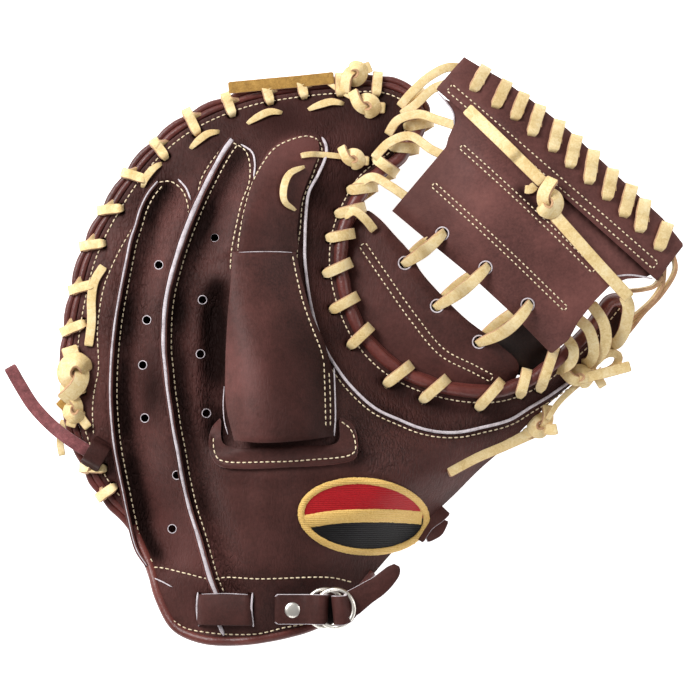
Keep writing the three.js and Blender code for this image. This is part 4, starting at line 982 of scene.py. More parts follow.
hoodPart = {
    "middle": -36, "half": 27.5, "rise": 12.5, "start": 48, "length": 80, "clear": 3.1, "thick": 2.4,
    "openAt": -32, "openOver": 6,
    "stitches": [
        [(-13, -6), (-12.5, -20), (-12, -38)], [(-10.5, -11), (-9.8, -25), (-9.8, -38)],
        [(-28.6, 47), (-26.2, 35), (-23.4, 24), (-19, 11.5), (-14.5, 0), (-13.2, -5)],
    ],
    "edges": [
        {"line": [(-58.3, 48.2), (-50, 48.8), (-35, 48.9), (-27.3, 48.4)], "width": 0.45, "height": 0.5,
         "lift": -0.75},
        {"line": [(-8.0, -9), (-7.4, -25), (-7.3, -34), (-7.9, -42.6)], "width": 0.8, "height": 1.6,
         "lift": -2.0},
        {"line": [(-62.5, -18), (-63, -27), (-62.3, -36), (-60.6, -42)], "width": 0.5, "height": 0.9,
         "lift": -4.5},
    ],
}
acrossHood = np.clip((planeX - hoodPart["middle"]) / hoodPart["half"], -1, 1)
hoodLift = hoodPart["rise"] * (1 - acrossHood**4) * smooth((hoodPart["start"] - planeY) / hoodPart["length"])
hoodGrid = np.maximum(fullGrid, backGrid) + hoodPart["clear"] + hoodLift
hood = Field(blurred(hoodGrid, 2.0) + 0.3 * wander(17, 7, 12))


def hoodUnder(x, y):
    # Under the hood the finger's space opens towards the tab
    isOpen = smooth((hoodPart["openAt"] - y) / hoodPart["openOver"])
    low = hood(x, y) - hoodPart["thick"]
    return np.minimum(low, low * isOpen + (back(x, y) + 0.2) * (1 - isOpen))


piece = Piece("finger_hood_leather", shadeAndToneAt=hoodShadeAt)
hoodStitches = [curved(line, 2.0) for line in hoodPart["stitches"]]
addShell(piece, cornered(hoodOutline, hoodCorners), hood, hoodPart["thick"], leather, creases=hoodStitches,
         step=2.2, bevel=0.5, bottom=hoodUnder)
for strip in hoodPart["edges"]:
    addEdgeStrip(piece, top=hood, **strip)
piece.make(["finger_hood"])

tabPart = {
    "thick": 2.4, "roll": 2.2, "rollAt": -49.5, "rollHalf": 5.5, "step": 1.8, "dark": 0.2,
    "stitch": [(-68, -43.5), (-67.5, -50), (-65, -54.5), (-40, -55.5), (-20, -54.5), (2, -51), (2.5, -45),
               (0, -39), (-4.5, -35.5)],
    "edge": [(-64.8, -34.3), (-68.2, -38), (-70, -43.5), (-69.2, -52), (-65, -57.5), (-40, -58.2),
             (-5, -56.2), (2.6, -53.6), (3.6, -45), (1, -37), (-5, -33.8)],
}


def tabTop(x, y):
    return back(x, y) + tabPart["thick"] + tabPart["roll"] * np.exp(
        -((y - tabPart["rollAt"]) / tabPart["rollHalf"]) ** 2)


piece = Piece("finger_tab_leather", shadeAndToneAt=even(tabPart["dark"]))
tabStitch = curved(tabPart["stitch"], 2.0)
addShell(piece, curved(tabOutline, 1.6, True), tabTop, tabPart["thick"], leather, creases=[tabStitch],
         step=tabPart["step"])
addEdgeStrip(piece, tabPart["edge"], tabTop, 0.4, 0.4, lift=-0.7, look=weltLeather)
piece.make(["finger_tab"])
print("finger pieces made")

# Palm
palmPart = {"laced": 6.6, "thumb": 4.0, "wrist": 9.0, "step": 3.2, "bevel": 0.6, "fill": 0.9}
piece = Piece("palm_leather")
palmOutline = rimOutline(palmPart["laced"], palmPart["thumb"], palmPart["wrist"], 2.4)
addShell(piece, palmOutline, palmHigh, 0, palmLeather, step=palmPart["step"], bevel=palmPart["bevel"],
         bottom=palmLow)
palm = piece.make(["palm_pad"])

# Rolled welts: how far in, how high and how thick each roll is, and how far a lace draws it in
weltParts = [
    {"name": "rim_welts", "node": "rim_welt", "rows": wristRim[-2:] + lacedRim, "rolls": [
        {"inset": 1.65, "rise": 0.3, "radius": 1.75, "pinch": 0.9},
        {"inset": 4.6, "rise": 1.7, "radius": 1.75, "pinch": 0.5}]},
    {"name": "crotch_welts", "node": "crotch_welt", "rows": lacedRim[-3:] + crotchRim + thumbRim[:3], "rolls": [
        {"inset": 3.5, "rise": 1.6, "radius": 3.1, "pinch": 0.5},
        {"inset": 1.4, "rise": -1.6, "radius": 1.7, "pinch": 0.6}]},
]
wrapsAt = planOf(rimWraps + crotchWraps)


def addRoll(piece, line, inset, rise, radius, pinch):
    # A thin leather roll that swells between the laces and is drawn in under each one
    near = np.sqrt(((line[:, None] - wrapsAt[None]) ** 2).sum(2)).min(1)
    free = smooth(near / 9)
    moved = shifted(line, inset - pinch * (free - 0.5))
    scale = radius * (0.93 + 0.1 * free)
    scale[[0, -1]] = radius * 0.6
    z = rimHeight(line[:, 0], line[:, 1]) + rise
    addSwept(piece, np.column_stack([moved, z]), upwards, circleSection(1.0, 16), weltLeather, scale=scale)


for part in weltParts:
    piece = Piece(part["name"])
    for roll in part["rolls"]:
        addRoll(piece, curved(planOf(part["rows"]), 1.6), **roll)
    piece.make([part["node"]])

pipingPart = {"inset": 2.3, "radius": 2.5}
piece = Piece("wrist_piping_roll")
wristLine = curved(planOf([thumbRim[-1]] + wristRim + [lacedRim[0]]), 1.8)
pipeWay = laidOn(shifted(wristLine, pipingPart["inset"]), back, -leatherThick / 2)
addSwept(piece, pipeWay, upwards, circleSection(pipingPart["radius"], 16), weltLeather)
piece.make(["wrist_piping"])
print("palm and welts made")


# Laces whipped over the edges

def highest(surface, x, y, reach=2.4):
    steps = np.array([-1, 0, 1]) * reach
    return max(float(surface(x + i, y + j)) for i in steps for j in steps)


def lowest(surface, x, y, reach=2.4):
    return -highest(lambda a, b: -surface(a, b), x, y, reach)


def addWhip(piece, wraps, over, under, level, profile, edgeLine, tilt, width, swell=0.0):
    # One lace over the edge and down through each hole in turn; profile is its way over the edge: inset, rise
    half = laceThick / 2 + 0.25
    path, sides, widths = [], [], []
    for i, (ex, ey, hx, hy) in enumerate(wraps):
        reach = math.hypot(ex - hx, ey - hy)
        ux, uy = (ex - hx) / reach, (ey - hy) / reach
        slant = reach / float(distanceTo(hx, hy, edgeLine))
        base = float(level(ex, ey))
        low = min(float(under(hx, hy)) - half, base - 4.5)
        top = float(over(hx, hy))
        turn = [(reach + 0.3, low, 0.6), (reach + 0.3, top - 1.6, 0.5), (reach - 0.1, top + 0.5, 0.66),
                (reach - 1.1, top + half + 0.5, 0.93)]
        for inset, rise in profile:
            along = min(inset * slant, reach - 2.6)
            z = base + rise
            if inset > 1.5:
                z = max(z, over(ex - ux * along, ey - uy * along) + half + 0.2)
            turn.append((along, z, 1.0))
        for inset, z, wide in turn:
            path.append((ex - ux * inset, ey - uy * inset, z))
            sides.append((-uy, ux, tilt))
            widths.append(wide * (1 + swell * i / len(wraps)))
        if i + 1 < len(wraps):
            nx, ny = wraps[i + 1][2:]
            x, y = (path[-1][0] + nx) / 2, (path[-1][1] + ny) / 2
            path.append((x, y, min(float(under(x, y)) - half - 0.4, base - 4.8)))
            sides.append((-uy, ux, 0))
            widths.append(0.9)
    addRibbon(piece, path, sides, width=width, step=0.8, widths=widths)


overBack = lambda x, y: highest(backTop, np.array(x), np.array(y), 1.5)
underPalm = lambda x, y: lowest(palmLow, x, y)
underWeb = lambda x, y: min(lowest(palmLow, x, y), lowest(webBaseTop, x, y) - leatherThick)
rimLacePart = {
    "profile": [(6.6, 5.4), (4.6, 5.3), (2.0, 3.6), (-0.3, 1.0), (-0.2, -2.2), (2.6, -4.6)],
    "tilt": 0.3, "width": laceWidth,
}
piece = Piece("rim_whip_lace")
addWhip(piece, rimWraps, overBack, underPalm, rimHeight, edgeLine=lacedLine, **rimLacePart)
piece.make(["rim_lace"])

# The crotch's whip lace, strands to the web that go on under its edge, loops at the thumb, and strands on edge
crotchWhip = {
    "profile": [(7.2, 6.2), (4.4, 6.6), (1.4, 5.2), (-0.8, 2.0), (-1.6, -3.6), (-1.0, -9.4)],
    "tilt": 0.3, "width": 5.5,
}
crotchStrands = [
    {"width": 4.6, "path": [(25, 122, 51.5), (31, 129, 54), (40, 137, 56), (50, 141.5, 57), (60, 139, 56.5),
                            (64, 132, 58)]},
    {"width": 4.6, "path": [(26, 118, 52), (33, 123, 54), (42, 131, 55), (50, 133, 57), (58, 130, 59)]},
    {"width": 4.6, "path": [(19, 108, 54), (24, 115, 57.5), (34, 118, 58.5), (44, 115, 61), (53, 112, 63.5),
                            (60, 109, 66)]},
    {"width": 4.6, "path": [(12, 96, 56), (20, 104, 60), (30, 107, 61), (41, 100, 62.5), (50, 96, 65)]},
    {"width": 4.6, "path": [(2, 81, 59.5), (11, 86.5, 61.5), (20, 82, 62), (29, 76, 62.5), (38, 71, 66)]},
    {"width": 4.6, "path": [(-3, 67, 61), (2, 69.5, 62.5), (7.5, 65.5, 61), (12, 60, 57)]},
    {"width": 6.2, "path": [(137, 27, 67), (139, 22, 66), (138.6, 16, 62), (137, 9, 56), (133.5, 3.6, 51),
                            (130, 3, 46)]},
    {"width": 5.8, "path": [(120.5, 23, 66), (126, 15, 66), (128, 7, 61), (127, 0.4, 56), (123, -5, 50),
                            (118, -6, 44)]},
    {"width": 5.8, "path": [(113, 16, 64), (118.3, 11.6, 64.5), (121, 6, 61), (122, -1, 56), (120, -6, 50),
                            (116, -7, 44)]},
    {"width": 5.4, "path": [(108, 6, 62), (111.5, 1, 63), (111, -5.5, 58), (105.5, -9.5, 52), (101, -8, 46)]},
    {"width": 4.6, "sides": (0.25, -0.1, 1.0), "path": [
        (133, 3, 46), (139, 9, 49), (146.5, 18.5, 54), (155.5, 28, 58), (162.5, 40.5, 60), (160.5, 50, 61)]},
    {"width": 4.6, "sides": (0.25, -0.1, 1.0), "path": [
        (140, 15, 50), (146, 20, 54), (152, 26, 58), (156, 33, 60), (157, 42, 61)]},
    {"width": 4.6, "sides": (0.25, -0.1, 1.0), "path": [
        (139, 29.5, 60), (146, 30.2, 60), (152, 32, 60.5), (156, 37, 61)]},
]
piece = Piece("crotch_whip_lace")
addWhip(piece, crotchWraps, overBack, underWeb, rimHeight, edgeLine=lacedLine, **crotchWhip)
for strand in crotchStrands:
    addRibbon(piece, **strand)
piece.make(["crotch_lace"])
print("edge laces made")

# Web
webPanelOutline = [
    (21, 69.5), (37, 56), (62.5, 35), (81.5, 17.5), (100.5, -2), (109, 5), (114, 14.5), (122.5, 25),
    (129.5, 32), (138, 35.5), (147, 36), (151, 38), (105, 80), (57, 121), (46, 126), (49, 123),
    (51.5, 118), (52, 112.5), (49, 106), (48, 101.5),
]
webBandOutline = [
    (57, 146.5), (50, 138.5), (43, 130.5), (56, 119), (105, 77.5), (153.5, 34.5), (160, 43.5),
    (167, 52.5), (156.7, 65.4), (143.7, 77.5), (125.5, 94.7), (109, 110), (91, 124.5), (75, 136), (64, 142.2),
]
webBaseOutline = [
    (14, 66.5), (22.5, 57.5), (30, 49), (35, 40), (42.5, 31), (57.5, 16), (75, 2.5), (84.5, -7.5),
    (80, -18), (66, -23), (50, -21.5), (35, -17), (20, -9), (8, 2), (-1, 17), (-5, 37), (-3, 54),
    (2, 64), (8, 70),
]
# Double rows of stitches, joined at their ends: the middle line and the distance between the rows
doubleRows = {
    "panel": [{"line": [(55.5, 101.5), (88.8, 71), (121.5, 39.5)], "gap": 2.7},
              {"line": [(41.5, 82.5), (75.8, 51), (107.5, 20.5)], "gap": 2.7}],
    "band": [{"line": [(49.8, 131), (93.2, 93.3), (152.4, 42.2)], "gap": 4.2}],
    "base": [{"line": [(6.2, 52.8), (17.5, 36.2), (31.5, 16.2), (46.2, -1.2), (62, -9.5), (71, -14.3)],
              "gap": 3.7}],
}


def rowLines(row):
    line = curved(row["line"], 1.0)
    one, other = shifted(line, row["gap"] / 2), shifted(line, -row["gap"] / 2)
    return [one, other] + [np.array([one[k], other[k]]) for k in (0, -1)]


rowSets = {part: [rowLines(row) for row in rows] for part, rows in doubleRows.items()}
webGrooves = {part: [line for lines in rows for line in lines[:2]] for part, rows in rowSets.items()}
windowEdges = {"panel": webPanelOutline[:5], "base": webBaseOutline[1:8]}
eyelet = {"hole": 3.0, "ring": 3.2, "wire": 0.36, "shadeDisc": 3.7}
webPanel = {"thick": 3.0, "step": 2.2, "edges": [
    [(43.6, 129), (48.6, 123), (51.6, 118), (52, 112.5)], [(131, 36.6), (140, 37.4), (151, 35.6)]]}
webBand = {"rise": 5.6, "thick": 7.9, "bevel": 0.9, "step": 2.2, "dark": 0.2}
webBase = {"rise": 1.2, "thick": 4.2, "step": 2.2, "dark": 0.28}
webShadeSheet = {"below": 4.5, "thick": 1.6, "step": 3.0,
             "outline": [(70, 2), (78, 9), (87, 14), (97, 7), (106, -1), (101, -10), (88, -13), (76, -9)]}


def rolledOver(x, y, edge, drop=2.6, wide=3.2):
    # The leather turns down at the window
    return drop * np.exp(-(distanceTo(x, y, windowEdges[edge]) / wide) ** 2)


def eyeletHoles(side):
    return [ellipse(*eye[side], eyelet["hole"], eyelet["hole"], 20) for eye in eyelets]


def addEyelets(piece, side, surface, behind):
    # A pale ring round each hole, and behind it a dark disc of painted shade
    for eye in eyelets:
        addHoleRing(piece, *eye[side], eyelet["ring"], surface, 0.05, eyelet["wire"])
        shadeDisc = ellipse(*eye[side], eyelet["shadeDisc"], eyelet["shadeDisc"], 24)
        addShell(piece, shadeDisc, behind, 0.8, nearBlackLeather, step=1.5, bevel=0.1)


webTop = lambda x, y: webLow(x, y) + webPanel["thick"] - rolledOver(x, y, "panel")
webBaseUpper = lambda x, y: webBaseTop(x, y) + webBase["rise"] - rolledOver(x, y, "base")
bandTop = Field(webLow.z + webBand["rise"])

piece = Piece("web_panel_leather", shadeAndToneAt=webShadeAndMottleAt)
addShell(piece, resampled(np.array(webPanelOutline, float), 1.8, True), webTop, webPanel["thick"], webLeather,
         holes=eyeletHoles("upper"), creases=webGrooves["panel"], step=webPanel["step"], edgeLook=leather)
addEyelets(piece, "upper", webTop, lambda x, y: webLow(x, y) - 0.1)
for line in webPanel["edges"]:
    addEdgeStrip(piece, line, webTop, 0.9, 1.2, lift=-0.8)
piece.make(["web_panel"])

piece = Piece("web_band_leather", shadeAndToneAt=even(webBand["dark"]))
addShell(piece, resampled(np.array(webBandOutline, float), 1.8, True), bandTop, webBand["thick"], webLeather,
         creases=webGrooves["band"], step=webBand["step"], bevel=webBand["bevel"], edgeLook=leather,
         bottom=lambda x, y: webLow(x, y) - 2.3)
piece.make(["web_band"])

piece = Piece("web_base_leather", shadeAndToneAt=even(webBase["dark"]))
addShell(piece, curved(webBaseOutline, 1.8, True), webBaseUpper, webBase["thick"], leather,
         holes=eyeletHoles("lower"), creases=webGrooves["base"], step=webBase["step"])
addEyelets(piece, "lower", webBaseUpper, lambda x, y: webBaseTop(x, y) - 3.1)
piece.make(["web_base"])

# A near-black sheet at the window's far end: painted shade where the inside of the mitt shows
piece = Piece("web_shade_sheet")
addShell(piece, curved(webShadeSheet["outline"], 2.0, True), lambda x, y: webBaseTop(x, y) - webShadeSheet["below"],
         webShadeSheet["thick"], nearBlackLeather, step=webShadeSheet["step"])
piece.make()

webWhip = {
    "edgeLine": [(57, 146.5), (86, 124), (115, 101), (142, 77.5), (167, 52.5)],
    "profile": [(11, 7.2), (7, 7.2), (4, 7.5), (2.2, 7.1), (1.0, 5.2), (0.9, 0.6), (2.2, -3.2), (6, -4.8)],
    "tilt": 0.4, "width": 6.0, "swell": 0.16,
}
piece = Piece("web_whip_lace")
addWhip(piece, webTopWraps, lambda x, y: float(bandTop(x, y)), lambda x, y: float(webLow(x, y)) - 2.3, webLow,
        **webWhip)
piece.make(["web_top_lace"])

# Laces tied across the window: how far each one bows, and its width at each point
windowLace = {"width": 5.8, "bows": (1.0, 1.5, 3.2),
              "widths": [0.7, 0.66, 0.9, 1.05, 1.05, 0.95, 0.7, 0.66, 0.8, 0.8]}
for k, (eye, bow) in enumerate(zip(eyelets, windowLace["bows"])):
    (lx, ly), (ux, uy) = eye["lower"], eye["upper"]
    dx, dy = ux - lx, uy - ly
    base, panel = float(webBaseTop(lx, ly)), float(webLow(ux, uy))
    baseAt = float(webBaseTop(lx + 0.3 * dx, ly + 0.3 * dy))
    panelAt = float(webLow(lx + 0.7 * dx, ly + 0.7 * dy))
    px, py = dy / math.hypot(dx, dy), -dx / math.hypot(dx, dy)
    stops = [    # share of the way across, height, offset to the side
        (0.0, base - 4.4, -0.6), (-0.03, base - 0.4, 0), (0.1, base + 2.6, 0.4 * bow),
        (0.35, baseAt + 4.4, bow),
        (0.65, panelAt + 6.0, bow), (0.9, panel + 5.6, 0.5 * bow), (1.04, panel + 3.2, 0),
        (1.0, panel - 1.2, -0.6), (0.7, panelAt - 1.8, -1.8), (0.3, baseAt - 4.2, -1.8)]
    loop = [(lx + dx * t + px * off, ly + dy * t + py * off, z) for t, z, off in stops]
    piece = Piece(f"window_lace_pair_{k + 1}")
    addRibbon(piece, loop, (-dy, dx, 9.0), width=windowLace["width"], closed=True, step=1.0,
              widths=windowLace["widths"])
    piece.make([f"window_lace_{k + 1}"])
print("web made")


# Flat laces tacked over the finger tips, and knots

def overAll(x, y):
    x, y = np.asarray(x, float), np.asarray(y, float)
    return np.where(isInside(x, y, indexPad), padTop(x, y), backTop(x, y))


tackPart = {"width": 3.9, "thick": 2.1, "arch": 1.9, "sunk": -1.8}
tacks = {
    "tack_lace_a": [(-104, 81.5), (-102.5, 86), (-98.5, 91), (-94.5, 93.5)],
    "tack_lace_b": [(-80, 101), (-76, 105), (-71, 108.5), (-65.5, 109.5)],
    "tack_lace_c": [(-51.5, 113.5), (-46, 117), (-40, 119.5), (-34, 119)],
    "tack_lace_d": [(-21, 120.5), (-15, 123), (-9, 124.5), (-3, 123.5)],
    "index_loop_lace": [(-27.5, 70), (-32.5, 74), (-33, 81), (-30, 88), (-23, 91.5)],
}
for name, way in tacks.items():
    piece = Piece(f"{name}_strip")
    line = curved(way, 2.0)
    share = np.linspace(0, 1, len(line))
    arch = tackPart["arch"] * np.sin(np.pi * share) ** 0.5
    arch[[0, -1]] = tackPart["sunk"]
    addRibbon(piece, laidOn(line, overAll, arch), width=tackPart["width"], thick=tackPart["thick"],
              widths=0.3 + 0.7 * np.sin(np.pi * share) ** 0.6)
    piece.make([name])

# An overhand knot in a flat lace of 6 mm: the end that stands up, the turn that holds it, the way out
knotParts = [
    {"way": [(1.8, 9.4, 2.6), (-0.4, 6.2, 4.2), (-2.2, 2.8, 4.6), (-2.5, -0.6, 3.8), (-1.2, -3.4, 2.2),
             (0.6, -4.6, 0.8)],
     "lean": 0.5, "widths": [1, 1, 1.05, 1, 0.9, 0.8]},
    {"way": [(-3.8, 4.6, 0.6), (0, 3.2, 2.0), (3.0, 1.2, 3.4), (3.8, -1.8, 3.9), (2.6, -4.6, 4.1),
             (0.2, -5.8, 4.6), (-2.4, -4.8, 4.2), (-3.9, -2.4, 1.4)],
     "lean": -0.9, "widths": [0.9, 1, 1.1, 1.15, 1.15, 1.15, 1.05, 0.8]},
    {"way": [(0, -2, 2.4), (2, -5.6, 2.2), (4.4, -9.6, 0.8)], "lean": 0, "widths": [1, 1, 1]},
]


def addKnot(piece, x, y, z, turn, size, flip=1, width=6.0):
    c, s = math.cos(turn), math.sin(turn)
    for part in knotParts:
        way = np.array([(x + size * (flip * u * c - v * s), y + size * (flip * u * s + v * c), z + size * w)
                        for u, v, w in part["way"]])
        along = runOf(way[:, :2])
        sides = np.column_stack([-along[:, 1], along[:, 0], np.full(len(way), flip * part["lean"])])
        addRibbon(piece, way, sides, width=width * size, thick=1.7, step=0.7, widths=part["widths"], corner=0.3)


def addTail(piece, way, surface, lift=0.3, width=4.4, thick=1.7, look=None, edgeLook=None):
    # A free end of lace that lies on a surface
    addRibbon(piece, laidOn(curved(way, 3.0), surface, thick / 2 + lift), width=width, thick=thick, look=look,
              edgeLook=edgeLook)


onRolls = lambda x, y: rimHeight(x, y) + 4.6
onWeb = lambda x, y: np.where(isInside(x, y, webBandOutline), bandTop(x, y), webTop(x, y))
overThumb = lambda x, y: np.maximum(back(x, y), 44)
level = lambda height: lambda x, y: np.full(np.shape(x), float(height))
tieParts = [
    {"name": "top_knot_lace", "node": "top_knot",
     "tails": [{"way": [(-24.5, 97), (-20, 97.8), (-12, 97.6), (-2, 96.6)], "surface": overAll, "width": 3.0}],
     "knots": [{"x": 1.0, "y": 96.2, "z": float(back(1, 96)) + 0.9, "turn": 0.95, "size": 0.8}]},
    {"name": "rim_tie_lace", "node": "rim_tie",
     "tails": [{"way": [(-61, 131.5), (-45, 133), (-25, 134.8), (-8, 136.6)], "surface": onRolls, "width": 6.0,
                "look": tanSuede, "edgeLook": laceEdge},
               {"way": [(-12, 135), (-5, 130), (1, 126.5)], "width": 2.6,
                "surface": lambda x, y: np.maximum(back(x, y), onRolls(x, y) - 2)}],
     "knots": [{"x": 1.6, "y": 137.4, "z": float(rimHeight(2, 137)) + 4.4, "turn": 2.5, "size": 0.95,
                "flip": -1},
               {"x": 7.6, "y": 123.2, "z": float(back(7, 124)) + 1.0, "turn": 0.95, "size": 0.95}]},
    {"name": "side_tie_lace", "node": "side_tie",
     "tails": [{"way": [(-123.5, 42), (-128, 34.5), (-129.5, 26), (-129.5, 14), (-131, 2)], "width": 4.6,
                "surface": lambda x, y: np.maximum(back(x, y), onRolls(x, y))},
               {"way": [(-137, -30), (-134, -35), (-131, -39)], "surface": onRolls, "width": 4.6},
               {"way": [(-146, -25.5), (-141, -30), (-136.5, -33)], "surface": onRolls, "width": 4.6,
                "look": tanSuede},
               {"way": [(-143.5, -35), (-145.5, -45), (-144.5, -53)], "surface": level(40), "width": 3.6}],
     "knots": [{"x": -138, "y": -13, "z": float(rimHeight(-137, -12)) + 4.6, "turn": 2.9, "size": 1.4},
               {"x": -138.5, "y": -29, "z": float(rimHeight(-139, -28)) + 3.8, "turn": 0.25, "size": 0.9,
                "flip": -1}]},
    {"name": "web_tie_lace", "node": "web_tie",
     "tails": [{"way": [(58.4, 120.3), (71, 108), (84, 95.2), (96, 83.4)], "surface": onWeb, "lift": 1.2,
                "width": 6.3},
               {"way": [(92, 82), (89, 79.5), (87, 80)], "surface": onWeb, "lift": 0.6, "width": 4.5},
               {"way": [(101, 68), (112, 55.6), (125, 41.2), (139.3, 26)], "lift": 0.6, "width": 6.3,
                "surface": lambda x, y: np.maximum(onWeb(x, y), 72 - 0.12 * (x - 101))}],
     "knots": [{"x": 99, "y": 74.8, "z": float(webTop(98.5, 76)) + 1.4, "turn": 0, "size": 1.12}]},
    {"name": "thumb_knot_lace", "node": "thumb_knot",
     "tails": [{"way": [(49, -61), (63, -53.8), (78, -47.5), (93, -41)], "surface": back, "width": 5.8},
               {"way": [(98, -39.5), (101, -40), (104, -39.5)], "surface": overThumb, "width": 5.6},
               {"way": [(99, -35), (104, -27), (114, -17.5), (121, -12.5)], "surface": overThumb, "width": 3.0},
               {"way": [(115, -14.5), (127, -11.6), (140.5, -8)], "surface": level(49), "width": 5.4},
               {"way": [(123, -12), (125.5, -16), (127, -18.5)], "surface": level(45), "width": 4.6}],
     "knots": [{"x": 96, "y": -36.5, "z": float(back(96, -36)) + 0.8, "turn": -0.5, "size": 0.95, "flip": -1},
               {"x": 114, "y": -13.0, "z": float(back(114, -10)) + 1.2, "turn": 1.3, "size": 0.95}],
     "loops": [{"width": 4.2, "path": [(119, -12, 46), (124, -5, 48), (130, -1.5, 48.5), (134.5, -3, 47.5),
                                       (133, -8, 46), (126, -12, 45)]}]},
    {"name": "wrist_tie_leather", "node": "wrist_tie", "slot": "leather",
     "tails": [{"way": [(34, -95), (39, -87.5), (45, -83), (48, -80)], "surface": back, "width": 6.5,
                "look": leather, "edgeLook": cutEdge},
               {"way": [(38, -94), (44, -91), (47, -85)], "surface": back, "lift": 2.2, "width": 5.5,
                "look": leather, "edgeLook": cutEdge}]},
]
for part in tieParts:
    piece = Piece(part["name"])
    for tail in part["tails"]:
        addTail(piece, **tail)
    for knot in part.get("knots", []):
        addKnot(piece, **knot)
    for loop in part.get("loops", []):
        addRibbon(piece, **loop)
    piece.make([part["node"]])
print("knots made")

# Wrist strap: along, and rise over the back
strapPart = {
    "y": -129.6, "width": 15.5, "thick": 2.3, "corner": 0.6, "dark": 0.42,
    "way": [(-81.5, -5.2), (-76.6, -4.4), (-74.4, 1.2), (-71, 2.3), (-62.5, 4.2), (-54, 2.3), (-50.6, 1.2),
            (-48.4, -4.4), (-43.5, -5.2)],
}
piece = Piece("wrist_strap_leather", shadeAndToneAt=even(strapPart["dark"]))
strapWay = [(x, strapPart["y"], float(back(x, -129)) + rise + 0.4) for x, rise in strapPart["way"]]
addRibbon(piece, strapWay, (0.0, 1, 0), width=strapPart["width"], thick=strapPart["thick"], look=leather,
          edgeLook=leather, corner=strapPart["corner"])
addEdgeStrip(piece, [(-74, -121.9), (-62, -121.6), (-51, -121.9)], lambda x, y: back(x, y) + 1.6, 0.45, 0.5)
for x in (-76.2, -48.8):
    addEdgeStrip(piece, [(x + 0.6, -138), (x - 0.3, -129.5), (x + 0.2, -121)], back, 1.0, 1.6)
piece.make(["wrist_strap"])

# Rivet tab, which turns back through the first ring: along, and rise over its seat
seatZ = max(float(back(x, y)) for x in (-34, -24, -14, -4, 6) for y in (-136, -129, -122))
tabLoop = {
    "width": 15, "thick": 2.0, "corner": 0.5, "dark": 0.42,
    "way": [(-37.5, 1.4), (-26, 1.4), (-15, 1.5), (-11.8, 4.8), (-13.2, 8.6), (-17, 8.4), (-22, 4.8), (-28, 3.9),
            (-37, 3.8)],
}
piece = Piece("rivet_tab_leather", shadeAndToneAt=even(tabLoop["dark"]))
addRibbon(piece, [(x, rivetAt[1] + 0.4, seatZ + rise) for x, rise in tabLoop["way"]], (0.05, 1, 0),
          width=tabLoop["width"], thick=tabLoop["thick"], look=leather, edgeLook=cutEdge,
          corner=tabLoop["corner"])
piece.make(["rivet_tab"])

# Rivet: a low turned cap, radius and height
rivetPart = {"sides": 36, "lift": 0.35,
             "profile": [(0.01, 1.5), (2.4, 1.42), (3.5, 1.2), (4.0, 0.85), (4.25, 0.3), (4.25, -0.4)]}
piece = Piece("rivet_cap")
n = rivetPart["sides"]
rivetZ = rivetBox[0][2] * 1000
points = np.vstack([np.column_stack([ellipse(*rivetAt, r, r, n), np.full(n, rivetZ + h + rivetPart["lift"])])
                    for r, h in rivetPart["profile"]])
faces = [(i * n + k, (i + 1) * n + k, (i + 1) * n + (k + 1) % n, i * n + (k + 1) % n)
         for i in range(len(rivetPart["profile"]) - 1) for k in range(n)]
piece.add(points, faces + [tuple(range(n))], nickel)
piece.make(["rivet"])

ringParts = [
    {"node": "ring_a", "x": -12.4, "rise": 4.6, "lean": 0.0},
    {"node": "ring_b", "x": -7.4, "rise": 8.0, "lean": 0.12},
]
ringSize = {"along": 9.2, "across": 9.4, "wire": 1.15}
turns = np.linspace(0, 2 * math.pi, 48, endpoint=False)
for part in ringParts:
    piece = Piece(f"{part['node']}_wire")
    reach = ringSize["along"] * np.cos(turns)
    loop = np.column_stack([part["x"] + reach, rivetAt[1] + 1.0 + ringSize["across"] * np.sin(turns),
                            seatZ + part["rise"] + part["lean"] * reach])
    addSwept(piece, loop, upwards, circleSection(ringSize["wire"], 14), nickel, closed=True)
    piece.make([part["node"]])

# Strap tail, which goes up through the rings and back: along, across, rise and width, with a lining under it
tailPart = {
    "width": 14, "thick": 2.0, "corner": 0.5, "dark": 0.42,
    "way": [(2, 2.2, 1.4, 0.85), (-3.8, 0.6, 1.4, 0.95), (-7.4, 0, 4.6, 1.05), (-7.1, 0, 9.6, 1.05),
            (-4.2, 0, 11.4, 1.05), (-1.6, 0.8, 9.6, 1.0), (0.6, 3.2, 6.0, 0.95), (3.6, 5.2, 4.8, 0.88),
            (8, 8.2, 4.2, 0.8), (14, 12, 3.6, 0.73), (19, 16.5, 3.4, 0.64), (22, 20, 3.4, 0.5),
            (23.3, 22.4, 3.4, 0.25)],
    "lining": [(-19, 0, 0.6), (-9, 0, 0.6), (-1, 0.5, 0.8)],
}
piece = Piece("strap_tail_leather", shadeAndToneAt=even(tailPart["dark"]))
tailPath = np.array([(x, rivetAt[1] + y, seatZ + rise) for x, y, rise, _ in tailPart["way"]])
along = runOf(tailPath[:, :2])
tailSides = np.column_stack([along[:, 1], -along[:, 0], np.zeros(len(along))])
tailSides[:7] = (0.1, -1, 0)
addRibbon(piece, tailPath, tailSides, width=tailPart["width"], thick=tailPart["thick"], look=leather,
          edgeLook=cutEdge, corner=tailPart["corner"], widths=[row[3] for row in tailPart["way"]])
addRibbon(piece, [(x, rivetAt[1] + y, seatZ + rise) for x, y, rise in tailPart["lining"]], (0.0, 1, 0),
          width=14.5, thick=1.6, look=nearBlackLeather, edgeLook=nearBlackLeather)
piece.make(["strap_tail"])

